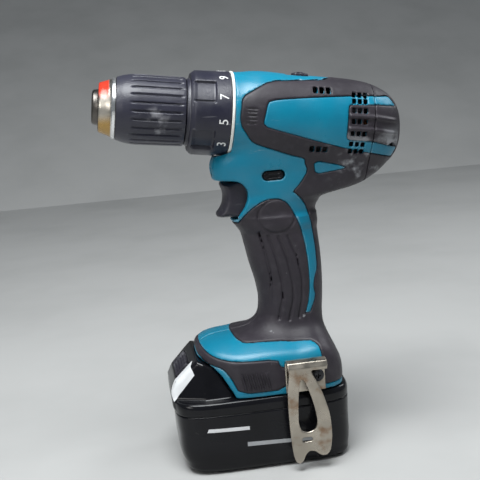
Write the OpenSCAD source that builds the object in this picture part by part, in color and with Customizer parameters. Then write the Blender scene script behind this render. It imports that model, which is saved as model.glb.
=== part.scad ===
// Pistol-grip cordless drill driver with a three-stage planetary gearbox,
// keyless three-jaw chuck, torque clutch and slide-on battery pack.
// Nose towards -X, right-hand side towards +Y, battery underside on Z = 0.

/* [Head] */
// Distance of the chuck axis above the battery underside, at the housing's front face
head_z = 215; // [205:1:230]
// Place of the housing's front face along X
head_x = -4; // [-8:1:0]
// Nose-up tilt of the head against the battery base, in degrees
head_tilt = 8; // [4:1:10]
// Length of the housing from its front face to the rear cover seam
head_len = 84; // [82:1:90]
// Length of the rear cover
cover_len = 22.5; // [20:0.5:26]
// Half width of the motor housing
head_half_w = 27; // [26.5:0.5:30]

/* [Handle and foot] */
// Half width of the grip
grip_half_w = 17.2; // [16.5:0.1:19]
// Half width of the foot above the battery
foot_half_w = 36.5; // [35:0.5:40]
// Height of the foot's lower rim above the battery underside
foot_z = 46.5; // [46:0.5:50]
// Thickness of the rubber overmould
rubber_t = 1.2; // [0.8:0.1:1.6]

/* [Battery] */
// Half width of the battery pack
batt_half_w = 37.5; // [36:0.5:40]
// Rear face of the battery pack along X
batt_rear = 54; // [52:1:58]
// Front face of the battery pack along X, below the slanted nose
batt_front = -55; // [-60:1:-54]
// Radius of one battery cell
cell_r = 9.1; // [8.5:0.1:9.2]

/* [Chuck] */
// Radius of the chuck sleeve at its widest
sleeve_r = 20.9; // [20:0.1:24]
// Length of the chuck sleeve
sleeve_len = 41; // [41:0.5:44]
// Number of gripping flutes round the sleeve
sleeve_flutes = 20; // [12:1:24]
// Radius of one chuck jaw
jaw_r = 3.6; // [3.2:0.1:3.7]
// Angle of the jaws to the chuck axis, in degrees
jaw_angle = 15.5; // [14:0.5:16]
// Radius of the round tool held with the jaws as drawn
grip_r = 1.5; // [1.5:0.1:2.5]

/* [Clutch and gears] */
// Outer radius of the torque collar
collar_r = 25.6; // [25:0.1:27]
// Length of the torque collar
collar_len = 23.5; // [23:0.5:25]
// Module of all the gears
gear_m = 0.7; // [0.68:0.01:0.7]
// Teeth on the motor pinion
sun_1_teeth = 12; // [12:3:15]
// Teeth on the second and third sun gears
sun_2_teeth = 18; // [18:3:21]
// Teeth on every ring gear
ring_teeth = 42; // [42:3:45]

/* [Motor] */
// Outer radius of the motor's steel tube
yoke_r = 19.5; // [18.5:0.1:20]
// Length of the motor's steel tube
yoke_len = 28; // [26:1:30]

/* [Controls] */
// Half width of the trigger
trigger_half_w = 10.5; // [9:0.5:11]
// How far the trigger travels
trigger_travel = 6; // [4:0.5:6]
// How far the speed selector slides
speed_travel = 4.5; // [3:0.5:5]

/* [Belt hook] */
// Width of the folded steel strip
hook_w = 25; // [20:1:28]
// Thickness of the steel strip
hook_t = 1.6; // [1.2:0.1:2]
// Gap between the hook's outer leg and its base plate
hook_gap = 7.5; // [6:0.5:9]

/* [Hidden] */
$fn = 64;
// Clearances: a running fit, a loose gap between moving parts, and a seam
fit_gap = 0.06;
run_gap = 0.35;
seam_gap = 0.25;
eps = 0.01;
big = 300;
jaw_count = 3;
planet_count = 3;
// Rear of the clutch towards the motor: where each stage's gears start along the axis
stage_1_s = 25.2;
stage_2_s = 15.4;
stage_3_s = 4.6;

teal = [0.0, 0.51, 0.65];
black = [0.09, 0.09, 0.11];
grey = [0.22, 0.2, 0.24];
steel = [0.7, 0.7, 0.72];

// ---- frames -------------------------------------------------------------
// Everything on the chuck axis is drawn with +X rearward from the housing's front face
module head_frame() {
    translate([head_x, 0, head_z]) rotate([0, head_tilt, 0]) children();
}

// A solid of revolution about the head axis, from [position, radius] points
module turned(profile, sides = 96) {
    rotate([90, 0, 90]) rotate_extrude($fn = sides)
        polygon([for (p = profile) [p[1], p[0]]]);
}

// A round bar or tube along the head axis
module bar(s, len, r, bore = 0) {
    translate([s, 0, 0]) rotate([0, 90, 0]) difference() {
        cylinder(h = len, r = r);
        if (bore > 0) translate([0, 0, -1]) cylinder(h = len + 2, r = bore);
    }
}

// A plate cut from a side-view outline of [x, z] points, half_w to each side
module side_plate(outline, half_w, y = 0) {
    translate([0, y + half_w, 0]) rotate([90, 0, 0]) linear_extrude(2 * half_w)
        polygon(outline);
}

// ---- lofted shells ------------------------------------------------------
// A section is [position, low, high, half width, squareness]
loft_sides = 36;
function signed_pow(v, e) = sign(v) * pow(abs(v), e);
function loft_ring(q, d, along_x) = let (mid = (q[1] + q[2]) / 2, half = (q[2] - q[1]) / 2 - d)
    [for (k = [0:loft_sides - 1]) let (a = 360 * (k + 0.5) / loft_sides,
        v = mid + half * signed_pow(sin(a), 2 / q[4]),
        y = (q[3] - d) * signed_pow(cos(a), 2 / q[4]))
        along_x ? [q[0], y, v] : [v, y, q[0]]];
function shifted(q, d) = [q[0] + d, q[1], q[2], q[3], q[4]];
function loft_faces(count) = [for (r = [0:count - 2]) for (k = [0:loft_sides - 1])
    let (a = r * loft_sides + k, b = r * loft_sides + (k + 1) % loft_sides,
        c = a + loft_sides, e = b + loft_sides)
    each [[a, b, c], [b, e, c]]];
function flipped(face) = [for (i = [len(face) - 1:-1:0]) face[i]];

// Skin over a list of sections, taken in by d on every side but, unless ends is set, not its ends
module loft(sections, d = 0, along_x = true, ends = 0) {
    last = len(sections) - 1;
    moved = [for (i = [0:last]) i == 0 ? shifted(sections[i], ends)
        : i == last ? shifted(sections[i], -ends) : sections[i]];
    points = [for (q = moved) each loft_ring(q, d, along_x)];
    caps = [[for (k = [loft_sides - 1:-1:0]) k],
        [for (k = [0:loft_sides - 1]) last * loft_sides + k]];
    faces = concat(loft_faces(len(sections)), caps);
    polyhedron(points, along_x ? [for (f = faces) flipped(f)] : faces);
}

seam = head_len;
tail = head_len + cover_len;
head_sections = [
    [0, -25.4, 25.4, 25.4, 2],
    [2.5, -25.6, 25.6, 25.6, 2],
    [12, -26.8, 26.8, head_half_w - 0.4, 2.1],
    [36, -26.5, 26.3, head_half_w, 2.2],
    [62, -26.5, 25.9, head_half_w - 0.6, 2.2],
    [seam, -26, 23.4, head_half_w - 2.4, 2.1]];
cover_sections = [
    [seam, -26, 23.4, head_half_w - 2.4, 2.1],
    [seam + 7, -25, 20.8, head_half_w - 4.4, 2.1],
    [seam + 13, -22, 17.4, head_half_w - 7, 2.1],
    [seam + 18.5, -17, 12, head_half_w - 11.5, 2],
    [tail, -12, 4, head_half_w - 17, 2]];
neck_sections = [
    [147, -5, 43.6, grip_half_w, 2.6],
    [152, -10.5, 43.6, grip_half_w, 2.6],
    [158, -12, 46.4, grip_half_w, 2.7],
    [162, -13, 51, grip_half_w + 0.3, 2.8],
    [165, -14, 70, grip_half_w + 0.5, 2.9],
    [171, -16.5, 82.3, grip_half_w + 1.2, 3],
    [178.5, -18.6, 90.8, grip_half_w + 2.2, 3],
    [187, -18.8, 95.5, 21.5, 2.9],
    [196, -12, 96, 23, 2.6],
    [206, 0, 90, 20, 2.4]];
grip_sections = [
    [80, 0, 42.6, grip_half_w + 0.6, 2.5],
    [87, 3.4, 44, grip_half_w - 0.2, 2.4],
    [97, 5.1, 45, grip_half_w - 0.2, 2.4],
    [108, 4.2, 45.6, grip_half_w, 2.4],
    [123, 0.8, 45.6, grip_half_w + 0.2, 2.4],
    [138, -2, 44.2, grip_half_w + 0.2, 2.5],
    [147.5, -5, 43.5, grip_half_w, 2.6]];
foot_sections = [
    [foot_z, -38.6, 49.5, foot_half_w, 5],
    [foot_z + 12, -38.6, 51.5, foot_half_w, 5],
    [foot_z + 22, -38, 50.5, foot_half_w - 1.4, 4.6],
    [foot_z + 27.5, -35, 47.5, foot_half_w - 5, 4],
    [foot_z + 31.5, -24, 44.5, foot_half_w - 12, 3],
    [foot_z + 34.5, -6, 43.2, grip_half_w + 2, 2.6]];

// Full outer form of the handle and head, taken in by d
module outer_form(d = 0) {
    union() {
        head_frame() loft(head_sections, d);
        intersection() {
            loft(neck_sections, d, false);
            front_of_seam();
        }
        loft(grip_sections, d, false, -eps);
        loft(foot_sections, d, false);
    }
}

// Everything ahead of the rear cover seam, and behind it
module front_of_seam() {
    head_frame() translate([seam - big, -big / 2, -big / 2]) cube(big);
}
module behind_seam(gap = 0) {
    head_frame() translate([seam + gap, -big / 2, -big / 2]) cube(big);
}
module cover_form(d = 0) {
    head_frame() loft(cover_sections, d);
    intersection() {
        loft(neck_sections, d, false);
        behind_seam();
        head_frame() bar(seam - 1, cover_len, 38.5 - d);
    }
}
module left_side() {
    translate([-big / 2, -big, -eps]) cube(big);
}
module right_side() {
    translate([-big / 2, 0, -eps]) cube(big);
}

// ---- openings in the housing -------------------------------------------
trigger_top = 175.6;
trigger_low = 152.4;
// Notch ahead of the handle in which the trigger stands
notch_outline = [[-60, 176.2], [-3.5, 176.2], [1.6, 170], [-1.2, 160], [-9.4, 150.8], [-60, 150.8]];
// Space inside the handle for the trigger's body and the switch
trigger_back = 4;
switch_x = trigger_back + trigger_travel + 2;
switch_len = 26;

// Underside of the foot, where the battery's slanted nose stands
nose_low = [batt_front - 1.6, 53.6];
nose_high = [-39.8, 69.2];
nose_gap_outline = [[-80, foot_z - 4], [-80, 69.7], [-38.6, 69.7], [-27.6, 64.4], [-17.6, foot_z],
    [-17.6, foot_z - 4]];

// Rail on the battery and the groove it slides in
rail_half_w = 26;
rail_top = 58;
lip_z = 49.5;
lip_h = 2.4;
lip_w = 3;
foot_bay_rear = 44.5;

vent_pitch = 3.6;
vent_size = 2.6;
vent_cols = 3;
vent_rows = [-18.3, -14.1, -7.7, -0.6, 5.8, 11.1, 14.7];
vent_s = seam - 14.6;

screw_r = 1.5;
screw_head_r = 2.8;
screw_len = 20;
boss_r = 3.4;
// Housing screws as [x, z], and on the head as [distance along the axis, height above it]
housing_points = [[-9, 185.2], [33, 183], [20.5, 125], [26.5, 92], [-27, 71], [47.2, 60]];
head_points = [[9, 22.7], [64, 22.7]];
boss_half_w = 14;

module at_screws() {
    for (p = housing_points) translate([p[0], 0, p[1]]) children();
    head_frame() for (p = head_points) translate([p[0], 0, p[1]]) children();
}

module bosses() {
    intersection() {
        at_screws() rotate([90, 0, 0]) cylinder(h = 2 * boss_half_w, r = boss_r, center = true);
        outer_form(rubber_t);
    }
}

// The stepped bore that seats the gearbox and fan ahead of the motor yoke, then the yoke itself
case_gap = 0.1;
module drive_bay() {
    head_frame() {
        bar(-1, yoke_s + 1, max(gear_case_r, fan_r + 1) + case_gap + seam_gap);
        bar(yoke_s - 1, seam + 2 - yoke_s, yoke_r + seam_gap);
    }
}

// The cavity that the gearbox, motor, switch and wiring lie in
module cavity() {
    drive_bay();
    translate([trigger_back - 6, -trigger_half_w - run_gap, trigger_low - 0.8])
        cube([switch_x + 4, 2 * (trigger_half_w + run_gap), trigger_top - trigger_low + 0.8]);
    translate([switch_x - 4, -13.4, 142]) cube([switch_len + 6, 26.8, 40]);
    loft(inner_grip, 0, false);
    translate([-16, -30, rail_top + 2]) cube([52, 60, 12]);
    head_frame() translate([36, -12, -32]) cube([30, 24, 20]);
}
inner_grip = [[70, 10, 36, 12, 3], [90, 12, 37, 12.4, 3], [110, 11, 38, 12.4, 3],
    [143, 6, 36, 12.4, 3]];

module vents() {
    head_frame() for (row = vent_rows) for (i = [0:vent_cols - 1])
        translate([vent_s + i * vent_pitch, -big / 2, row]) cube([vent_size, big, vent_size]);
}
slot_s = 45.5;
slot_len = 11.5;
module cooling_slots() {
    head_frame() for (t = [16, -18.4]) for (i = [0:2])
        translate([slot_s + i * 4, -big / 2, t]) cube([slot_len / 3 - 0.8, big, 3.4]);
}

module openings() {
    side_plate(notch_outline, big / 2);
    translate([-18, -trigger_half_w - run_gap, trigger_low - 0.8])
        cube([24, 2 * (trigger_half_w + run_gap), trigger_top - trigger_low + 0.8]);
    // bay for the battery rail, with its two lips left standing
    difference() {
        translate([-60, -rail_half_w - lip_w - 0.3, foot_z - 2])
            cube([60 + foot_bay_rear, 2 * (rail_half_w + lip_w + 0.3), rail_top - foot_z + 2.3]);
        for (side = [-1, 1])
            translate([-16, side * (rail_half_w + lip_w / 2 + 0.3) - (lip_w + 0.6) / 2 + side * 0.15, lip_z])
                cube([foot_bay_rear + 17, lip_w + 0.6, lip_h]);
    }
    // contact blades through the roof of the bay
    for (side = [-1, 1]) translate([blade_x - 0.2, side * blade_y - blade_t / 2 - 0.2, rail_top - 1])
        cube([blade_len + 0.4, blade_t + 0.4, 5]);
    // round space for the torque collar and the index ring
    head_frame() bar(-40, 40, collar_r + 0.3 + run_gap);
    side_plate(nose_gap_outline, big / 2);
    vents();
    cooling_slots();
    // direction lever's through slot
    translate([lever_x, 0, lever_z]) rotate([90, 0, 0])
        lever_outline(lever_len + 2 * run_gap, lever_h + 2 * run_gap, big);
    // speed selector's window
    head_frame() translate([speed_s - speed_travel - 0.6, -speed_half_w - run_gap, 18])
        cube([speed_len + speed_travel + 1.2, 2 * (speed_half_w + run_gap), 20]);
    // space for the shift wire, the gearbox and the motor
    head_frame() translate([fork_s - speed_travel - 2, -1.4, 18]) cube([30, 2.8, 4.2]);
    drive_bay();
    // lamp window
    translate([lamp_x - 6, -lamp_half_w, lamp_z]) cube([12, 2 * lamp_half_w, lamp_h]);
    // belt hook holes, one a side
    for (side = [-1, 1]) translate([hook_x, side * (hook_hole_y + 10), hook_z]) rotate([90, 0, 0])
        cylinder(h = 20, r = hook_screw_r, center = true);
    // screw clearance and heads, from the right
    at_screws() {
        rotate([90, 0, 0]) translate([0, 0, -screw_len / 2 - 0.5])
            cylinder(h = screw_len + 0.5, r = screw_r);
        translate([0, screw_len / 2, 0]) rotate([-90, 0, 0]) cylinder(h = big, r = screw_head_r + 0.2);
    }
}

module housing_half() {
    difference() {
        union() {
            difference() {
                outer_form();
                cavity();
            }
            bosses();
            intersection() {
                hook_bosses();
                outer_form(rubber_t);
            }
        }
        openings();
        intersection() {
            rubber_mask();
            rubber_band();
        }
    }
}

// The thin outer band that the rubber fills
module rubber_band() {
    difference() {
        translate([-big / 2, -big / 2, 0]) cube(big);
        outer_form(rubber_t);
    }
}

// Side-view outline of the rubber: handle and skirt, and the open C on the motor housing
handle_rubber = [[-13, 81.5], [-12, 76.5], [-2, 73.5], [34, 72.5], [42, 66], [43, 56], [70, 52],
    [60, 100], [48, 163.5], [90, 150], [110, 200], [66, 183], [40.5, 185.5], [40.9, 184.5], [36.5, 171],
    [29, 162], [31, 163], [40.5, 139], [40, 100], [36.5, 80], [33.5, 82], [38, 128], [31, 148],
    [22, 160], [12, 160.5], [2, 152], [-3, 147.5], [-15, 147.5], [-15, 81.5]];
module rubber_mask() {
    side_plate(handle_rubber, big / 2);
    head_frame() difference() {
        side_plate([[6, -14], [14, -23], [40, -27], [72, -34], [100, -34], [100, 40], [60, 40],
            [60, 24], [44, 22], [18, 21.5], [6, 13]], big / 2);
        side_plate(panel_outline, big);
    }
}
// Window in the rubber C where the housing shows
panel_outline = [[17.5, -4.5], [18.2, 8], [22, 11], [60, 14.5], [82, 17], [82, 9], [68, 9], [68, -9],
    [82, -9], [82, -19], [66, -14.8]];

module rubber_half() {
    difference() {
        intersection() {
            outer_form();
            rubber_mask();
            rubber_band();
        }
        openings();
    }
}

module housing_left() {
    color(teal) intersection() {
        housing_half();
        left_side();
    }
}
module housing_right() {
    color(teal) intersection() {
        housing_half();
        right_side();
    }
}
module grip_left() {
    color(grey) intersection() {
        rubber_half();
        left_side();
    }
}
module grip_right() {
    color(grey) intersection() {
        rubber_half();
        right_side();
    }
}

module rear_cover() {
    color(grey) difference() {
        cover_form();
        head_frame() {
            bar(seam - 1, 11, rear_bore);
            bar(seam - 1, 16.5, 8 + fit_gap);
            for (side = [-1, 1]) translate([seam - 1, side * 15, cover_screw_t]) rotate([0, 90, 0])
                cylinder(h = 30, r = screw_r);
            for (side = [-1, 1]) translate([seam + 7, side * 15, cover_screw_t]) rotate([0, 90, 0])
                cylinder(h = 30, r = screw_head_r + 0.2);
        }
    }
}
rear_bore = 15.5;
cover_screw_t = -13.5;

// One cross-head screw along Z, with its head's underside at the origin
module screw(len, r, head_r, head_h) {
    difference() {
        union() {
            translate([0, 0, -len]) cylinder(h = len + eps, r = r);
            cylinder(h = head_h, r1 = head_r, r2 = head_r * 0.8);
        }
        for (turn = [0, 90]) rotate([0, 0, turn])
            translate([-head_r * 0.6, -0.35, head_h - 1]) cube([head_r * 1.2, 0.7, 2]);
    }
}

module housing_screws() {
    color(steel) {
        at_screws() translate([0, screw_len / 2, 0]) rotate([-90, 0, 0])
            screw(screw_len, screw_r, screw_head_r, 2.2);
    }
}

module index_ring() {
    color("white") head_frame() bar(-1.8, 1.6, collar_r + 0.3, gear_case_r + 0.6);
}

// ---- controls -------------------------------------------------------------
lever_x = 12.5;
lever_z = 178.4;
lever_len = 12.5;
lever_h = 5.6;
lever_half_w = grip_half_w + 1.6;
module lever_outline(len, high, through) {
    translate([0, 0, -through / 2]) linear_extrude(through) hull() {
        for (side = [-1, 1]) translate([side * (len - high) / 2, 0]) circle(r = high / 2, $fn = 32);
    }
}
module reverse_lever() {
    color(black) translate([lever_x, 0, lever_z]) difference() {
        rotate([90, 0, 0]) lever_outline(lever_len, lever_h, 2 * lever_half_w);
        for (side = [-1, 1]) for (row = [-1.2, 1.2])
            translate([-3.5, side * lever_half_w - 0.6, row - 0.35]) cube([7, 1.2, 0.7]);
    }
}

speed_s = 37;
speed_len = 8.6;
speed_half_w = 6;
speed_top = 27.8;
speed_low = 22;
module speed_lever() {
    color(black) head_frame() difference() {
        translate([speed_s, -speed_half_w, speed_low])
            cube([speed_len, 2 * speed_half_w, speed_top - speed_low]);
        for (i = [1:3]) translate([speed_s + i * speed_len / 4 - 0.4, -speed_half_w - 1, speed_top - 0.8])
            cube([0.8, 2 * speed_half_w + 2, 2]);
    }
}

// Spring wire from the selector to the sliding ring gear
fork_r = 0.8;
fork_s = stage_2_s + 4.2;
fork_z = 20.6;
module shift_fork() {
    color(steel) head_frame() {
        translate([fork_s, 0, fork_z]) rotate([0, 90, 0]) cylinder(h = speed_s + 3 - fork_s, r = fork_r);
        translate([speed_s + 3, 0, fork_z - fork_r]) cylinder(h = speed_low - fork_z + fork_r, r = fork_r);
        translate([fork_s, 0, ring_outer - 0.8])
            cylinder(h = fork_z + fork_r - ring_outer + 0.8, r = fork_r);
    }
}

trigger_outline = [[-14.2, 175.2], [-12.4, 169.5], [-13.6, 161.8], [-17.6, 155.4], [-16.4, 153],
    [-8.6, trigger_low], [trigger_back, trigger_low], [trigger_back, trigger_top - 0.6],
    [-12.4, trigger_top - 0.6]];
plunger_r = 2.6;
plunger_z = 164;
module trigger() {
    color(black) {
        side_plate(trigger_outline, trigger_half_w);
        translate([trigger_back - eps, 0, plunger_z]) rotate([0, 90, 0])
            cylinder(h = switch_x - trigger_back + 1, r = plunger_r);
    }
}

// A close coil of wire along +X, as a chain of rings
module coil(len, r, wire_r, turns, sides = 20, round = 6) {
    steps = turns * sides;
    points = [for (i = [0:steps]) let (a = 360 * i / sides, x = wire_r + (len - 2 * wire_r) * i / steps)
        for (k = [0:round - 1]) let (b = 360 * k / round, q = r + wire_r * cos(b))
        [x + wire_r * sin(b), q * cos(a), q * sin(a)]];
    sides_faces = [for (i = [0:steps - 1]) for (k = [0:round - 1])
        let (p = i * round + k, n = i * round + (k + 1) % round)
        each [[p, n, p + round], [n, n + round, p + round]]];
    ends = [[for (k = [round - 1:-1:0]) k], [for (k = [0:round - 1]) steps * round + k]];
    polyhedron(points, concat(sides_faces, ends));
}
trigger_spring_r = 4;
spring_wire_r = 0.45;
module trigger_spring() {
    color(steel) translate([trigger_back + 0.05, 0, plunger_z])
        coil(switch_x - trigger_back - 0.1, trigger_spring_r, spring_wire_r, 5);
}

module switch_body() {
    color(black) difference() {
        union() {
            translate([switch_x, -10.5, 147]) cube([switch_len, 21, 25]);
            translate([switch_x + 5, -6, 171]) cube([8, 12, 3]);
        }
        translate([switch_x - 1, 0, plunger_z]) rotate([0, 90, 0])
            cylinder(h = trigger_travel + 4, r = plunger_r + fit_gap);
    }
}

lamp_x = -16;
lamp_z = 179.3;
lamp_h = 5;
lamp_half_w = 4;
module led_lamp() {
    color([0.9, 0.95, 1]) translate([lamp_x - 1.6, -lamp_half_w + 0.1, lamp_z + 0.1])
        cube([6, 2 * lamp_half_w - 0.2, lamp_h - 0.2]);
}

// ---- belt hook ------------------------------------------------------------
hook_x = 31.6;
hook_z = 57;
hook_screw_r = 2;
// Closed end of each screw hole, from the middle plane
hook_hole_y = 30.4;
hook_mid = 25.5;
hook_top = 68;
hook_low = 5;
hook_y = -foot_half_w - 0.2;
module hook_bosses() {
    for (side = [-1, 1]) translate([hook_x, side * (foot_half_w - 5), hook_z]) rotate([90, 0, 0])
        cylinder(h = 10, r = 5, center = true);
}
module belt_hook() {
    color([0.78, 0.74, 0.68]) difference() {
        union() {
            // base plate on the foot
            translate([hook_mid - hook_w / 2, hook_y - hook_t, foot_z + 1.5])
                cube([hook_w, hook_t, hook_top - foot_z - 1.5]);
            // fold over the top
            translate([hook_mid - hook_w / 2, hook_y - hook_t - hook_gap / 2, hook_top])
                rotate([0, 90, 0]) rotate([0, 0, 90]) rotate_extrude(angle = 180)
                translate([hook_gap / 2, 0]) square([hook_t, hook_w]);
            // outer leg
            translate([hook_mid - hook_w / 2, hook_y - hook_gap - 2 * hook_t, hook_low])
                cube([hook_w, hook_t, hook_top - hook_low]);
        }
        // tapered slot in the outer leg
        translate([0, hook_y - hook_gap, 0]) rotate([90, 0, 0]) linear_extrude(3 * hook_t) hull() {
            translate([hook_mid - 0.5, 58]) circle(r = 6, $fn = 32);
            translate([hook_mid + 1.5, 24]) circle(r = 3, $fn = 32);
        }
        translate([hook_x, hook_y - 4, hook_z]) rotate([90, 0, 0])
            cylinder(h = 8.2, r = hook_screw_r + 0.1, center = true);
    }
}
module hook_screw() {
    color(black) translate([hook_x, hook_y - hook_t, hook_z]) rotate([90, 0, 0])
        screw(-hook_y + hook_t - hook_hole_y - 0.3, hook_screw_r, 4, 2.4);
}

// ---- chuck ------------------------------------------------------------------
nose_s = -79;
nose_r = 14;
jaw_stand = 4;
chuck_rear = -28;
sleeve_front = chuck_rear - sleeve_len;
body_r = 16.4;
jaw_len = 29;
jaw_gap = 0.4;
// Length of the gripping land at the jaw tips, and how far the jaws are relieved behind it
jaw_land = 7;
jaw_relief = 0.9;
// How far each jaw's axis lies outside the tool's surface at the tip
bite = 0.5;
socket_s = -41;
// Where the jaw axes meet on the chuck axis, ahead of the jaw tips
jaw_apex = nose_s - jaw_stand - (grip_r + bite) / tan(jaw_angle);
// Radius that the jaws' outer edges reach at a place along the axis
function jaw_reach(s) = (s - jaw_apex) * tan(jaw_angle) + jaw_r / cos(jaw_angle);
nut_front = -60;
nut_len = 6;
nut_r = 17.5;
neck_r = jaw_reach(nut_front) - 0.05;

module jaw_frame(i) {
    head_frame() rotate([120 * i + 90, 0, 0]) translate([jaw_apex, 0, 0])
        rotate([0, -jaw_angle, 0]) rotate([0, 90, 0]) children();
}

// One jaw: a round bar on its slanted axis, cut square at the tip and to its third of the circle
module jaw(i) {
    color(steel) difference() {
        jaw_frame(i) cylinder(h = jaw_len - (jaw_apex - nose_s + jaw_stand), r = jaw_r);
        head_frame() {
            translate([nose_s - jaw_stand - 40, -20, -20]) cube([40, 40, 40]);
            bar(nose_s - 20, 60, grip_r);
            bar(nose_s - jaw_stand + jaw_land, 60, grip_r + jaw_relief);
            rotate([120 * i + 90, 0, 0]) for (side = [-1, 1]) rotate([side * 30, 0, 0])
                translate([nose_s - 20, -20, jaw_gap / 2 - 40]) cube([60, 40, 40]);
        }
    }
}
module jaw_1() {
    jaw(0);
}
module jaw_2() {
    jaw(1);
}
module jaw_3() {
    jaw(2);
}

module chuck_body() {
    color([0.72, 0.7, 0.66]) difference() {
        head_frame() turned([[nose_s, 0], [nose_s, nose_r - 1], [nose_s + 1, nose_r],
            [sleeve_front - run_gap, 18], [sleeve_front - run_gap, body_r], [nut_front - run_gap, body_r],
            [nut_front - run_gap, neck_r], [nut_front + nut_len + run_gap, neck_r],
            [nut_front + nut_len + run_gap, body_r], [chuck_rear - 0.5, body_r], [chuck_rear - 0.5, 0]]);
        head_frame() {
            turned([[nose_s - 1, 0], [nose_s - 1, 7.8], [nose_s + 4, 7], [socket_s - 14, 7],
                [socket_s - 14, 0]]);
            bar(socket_s, 20, spindle_thread_r);
            bar(socket_s - 16, 20, chuck_screw_r);
        }
        for (i = [0:jaw_count - 1]) jaw_frame(i)
            cylinder(h = 90, r = jaw_r + 0.08);
    }
}
spindle_thread_r = 6.2;
chuck_screw_r = 2.4;

// Threaded ring that drives the jaws; its bore is a cone clear of their outer edges
module chuck_nut() {
    color(steel) head_frame() turned([[nut_front, jaw_reach(nut_front) + run_gap], [nut_front, nut_r],
        [nut_front + nut_len, nut_r], [nut_front + nut_len, jaw_reach(nut_front + nut_len) + run_gap]]);
}

flute_depth = 0.7;
flute_w = 1.4;
sleeve_bore = sleeve_r - 2.1;
module chuck_sleeve() {
    color(black) head_frame() difference() {
        turned([[sleeve_front, body_r + run_gap], [sleeve_front, 18.2], [sleeve_front + 0.8, 18.8],
            [sleeve_front + 11, sleeve_r], [chuck_rear - 8, sleeve_r - 0.1],
            [chuck_rear - 7.4, sleeve_r - 0.5], [chuck_rear - 1, sleeve_r - 0.3],
            [chuck_rear, sleeve_r - 0.8], [chuck_rear, body_r + run_gap],
            [chuck_rear - 8, body_r + run_gap], [chuck_rear - 9, sleeve_bore],
            [nut_front + nut_len, sleeve_bore],
            [nut_front + nut_len, nut_r], [nut_front, nut_r], [nut_front, body_r + run_gap]]);
        for (i = [0:sleeve_flutes - 1]) rotate([360 * i / sleeve_flutes, 0, 0])
            translate([sleeve_front + 12, -flute_w / 2, sleeve_r - flute_depth])
            cube([sleeve_len - 22, flute_w, 4]);
    }
}

module chuck_screw() {
    color(black) head_frame() translate([socket_s - 14, 0, 0]) rotate([0, -90, 0])
        screw(20, chuck_screw_r, 3.8, 2.6);
}

// ---- clutch -------------------------------------------------------------------
collar_rear = -2.1;
collar_front = collar_rear - collar_len;
gear_case_r = 19.4;
nose_tube_r = 15;
module torque_collar() {
    color(black) head_frame() difference() {
        turned([[collar_front, nose_tube_r + 0.6], [collar_front, collar_r - 2],
            [collar_front + 2, collar_r - 0.8],
            [collar_rear - 9, collar_r - 0.3], [collar_rear, collar_r], [collar_rear, gear_case_r + 1],
            [collar_front + 3, gear_case_r + 1], [collar_front + 3, nose_tube_r + 0.6]]);
        // stepped gripping pads on the front half
        for (i = [0:5]) rotate([60 * i, 0, 0]) translate([collar_front + 2.5, -4, collar_r - 1.4])
            cube([9, 8, 4]);
    }
}

clutch_nut_s = -17.5;
module clutch_nut() {
    color(grey) head_frame() difference() {
        bar(clutch_nut_s, 4, gear_case_r + 0.6, nose_tube_r + 0.3);
        for (i = [0:2]) rotate([120 * i, 0, 0]) translate([clutch_nut_s - 1, -1.5, gear_case_r - 0.4])
            cube([6, 3, 2]);
    }
}
clutch_spring_wire_r = 1.1;
module clutch_spring() {
    color(steel) head_frame() translate([clutch_nut_s + 4.1, 0, 0])
        coil(9.6, 17, clutch_spring_wire_r, 3.5, 24);
}
ball_count = 6;
ball_r = 1.6;
module clutch_balls() {
    color(steel) head_frame() for (i = [0:ball_count - 1]) rotate([60 * i, 0, 0])
        translate([gear_case_face - 0.2, 0, 17]) sphere(r = ball_r, $fn = 32);
}
gear_case_face = -2;

module gear_case() {
    color([0.45, 0.46, 0.48]) head_frame() difference() {
        union() {
            bar(gear_case_face, 34, gear_case_r);
            bar(-20, 18 + eps, nose_tube_r);
        }
        bar(gear_case_face + 2, 40, ring_outer + fit_gap);
        bar(-30, 60, spindle_r + 1.2);
        bar(-20.5, 5.5 + 0.5, bearing_r + fit_gap);
        for (i = [0:ball_count - 1]) rotate([60 * i, 0, 0])
            translate([gear_case_face - 0.2, 0, 17]) sphere(r = ball_r + 0.1, $fn = 32);
        // window for the shift wire
        translate([fork_s - speed_travel - 1.4, -1.4, ring_outer - 2]) cube([speed_travel + 2.8, 2.8, 8]);
    }
}

// ---- gearbox ------------------------------------------------------------------
planet_1_teeth = (ring_teeth - sun_1_teeth) / 2;
planet_2_teeth = (ring_teeth - sun_2_teeth) / 2;
ring_r = gear_m * (ring_teeth / 2 + 1.4);
ring_outer = ring_r + 1.5;
gear_w = 4.6;
pin_r = 1.1;
spindle_r = 5;
bearing_r = 11;
plate_t = 2;
backlash = 0.2;

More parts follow.
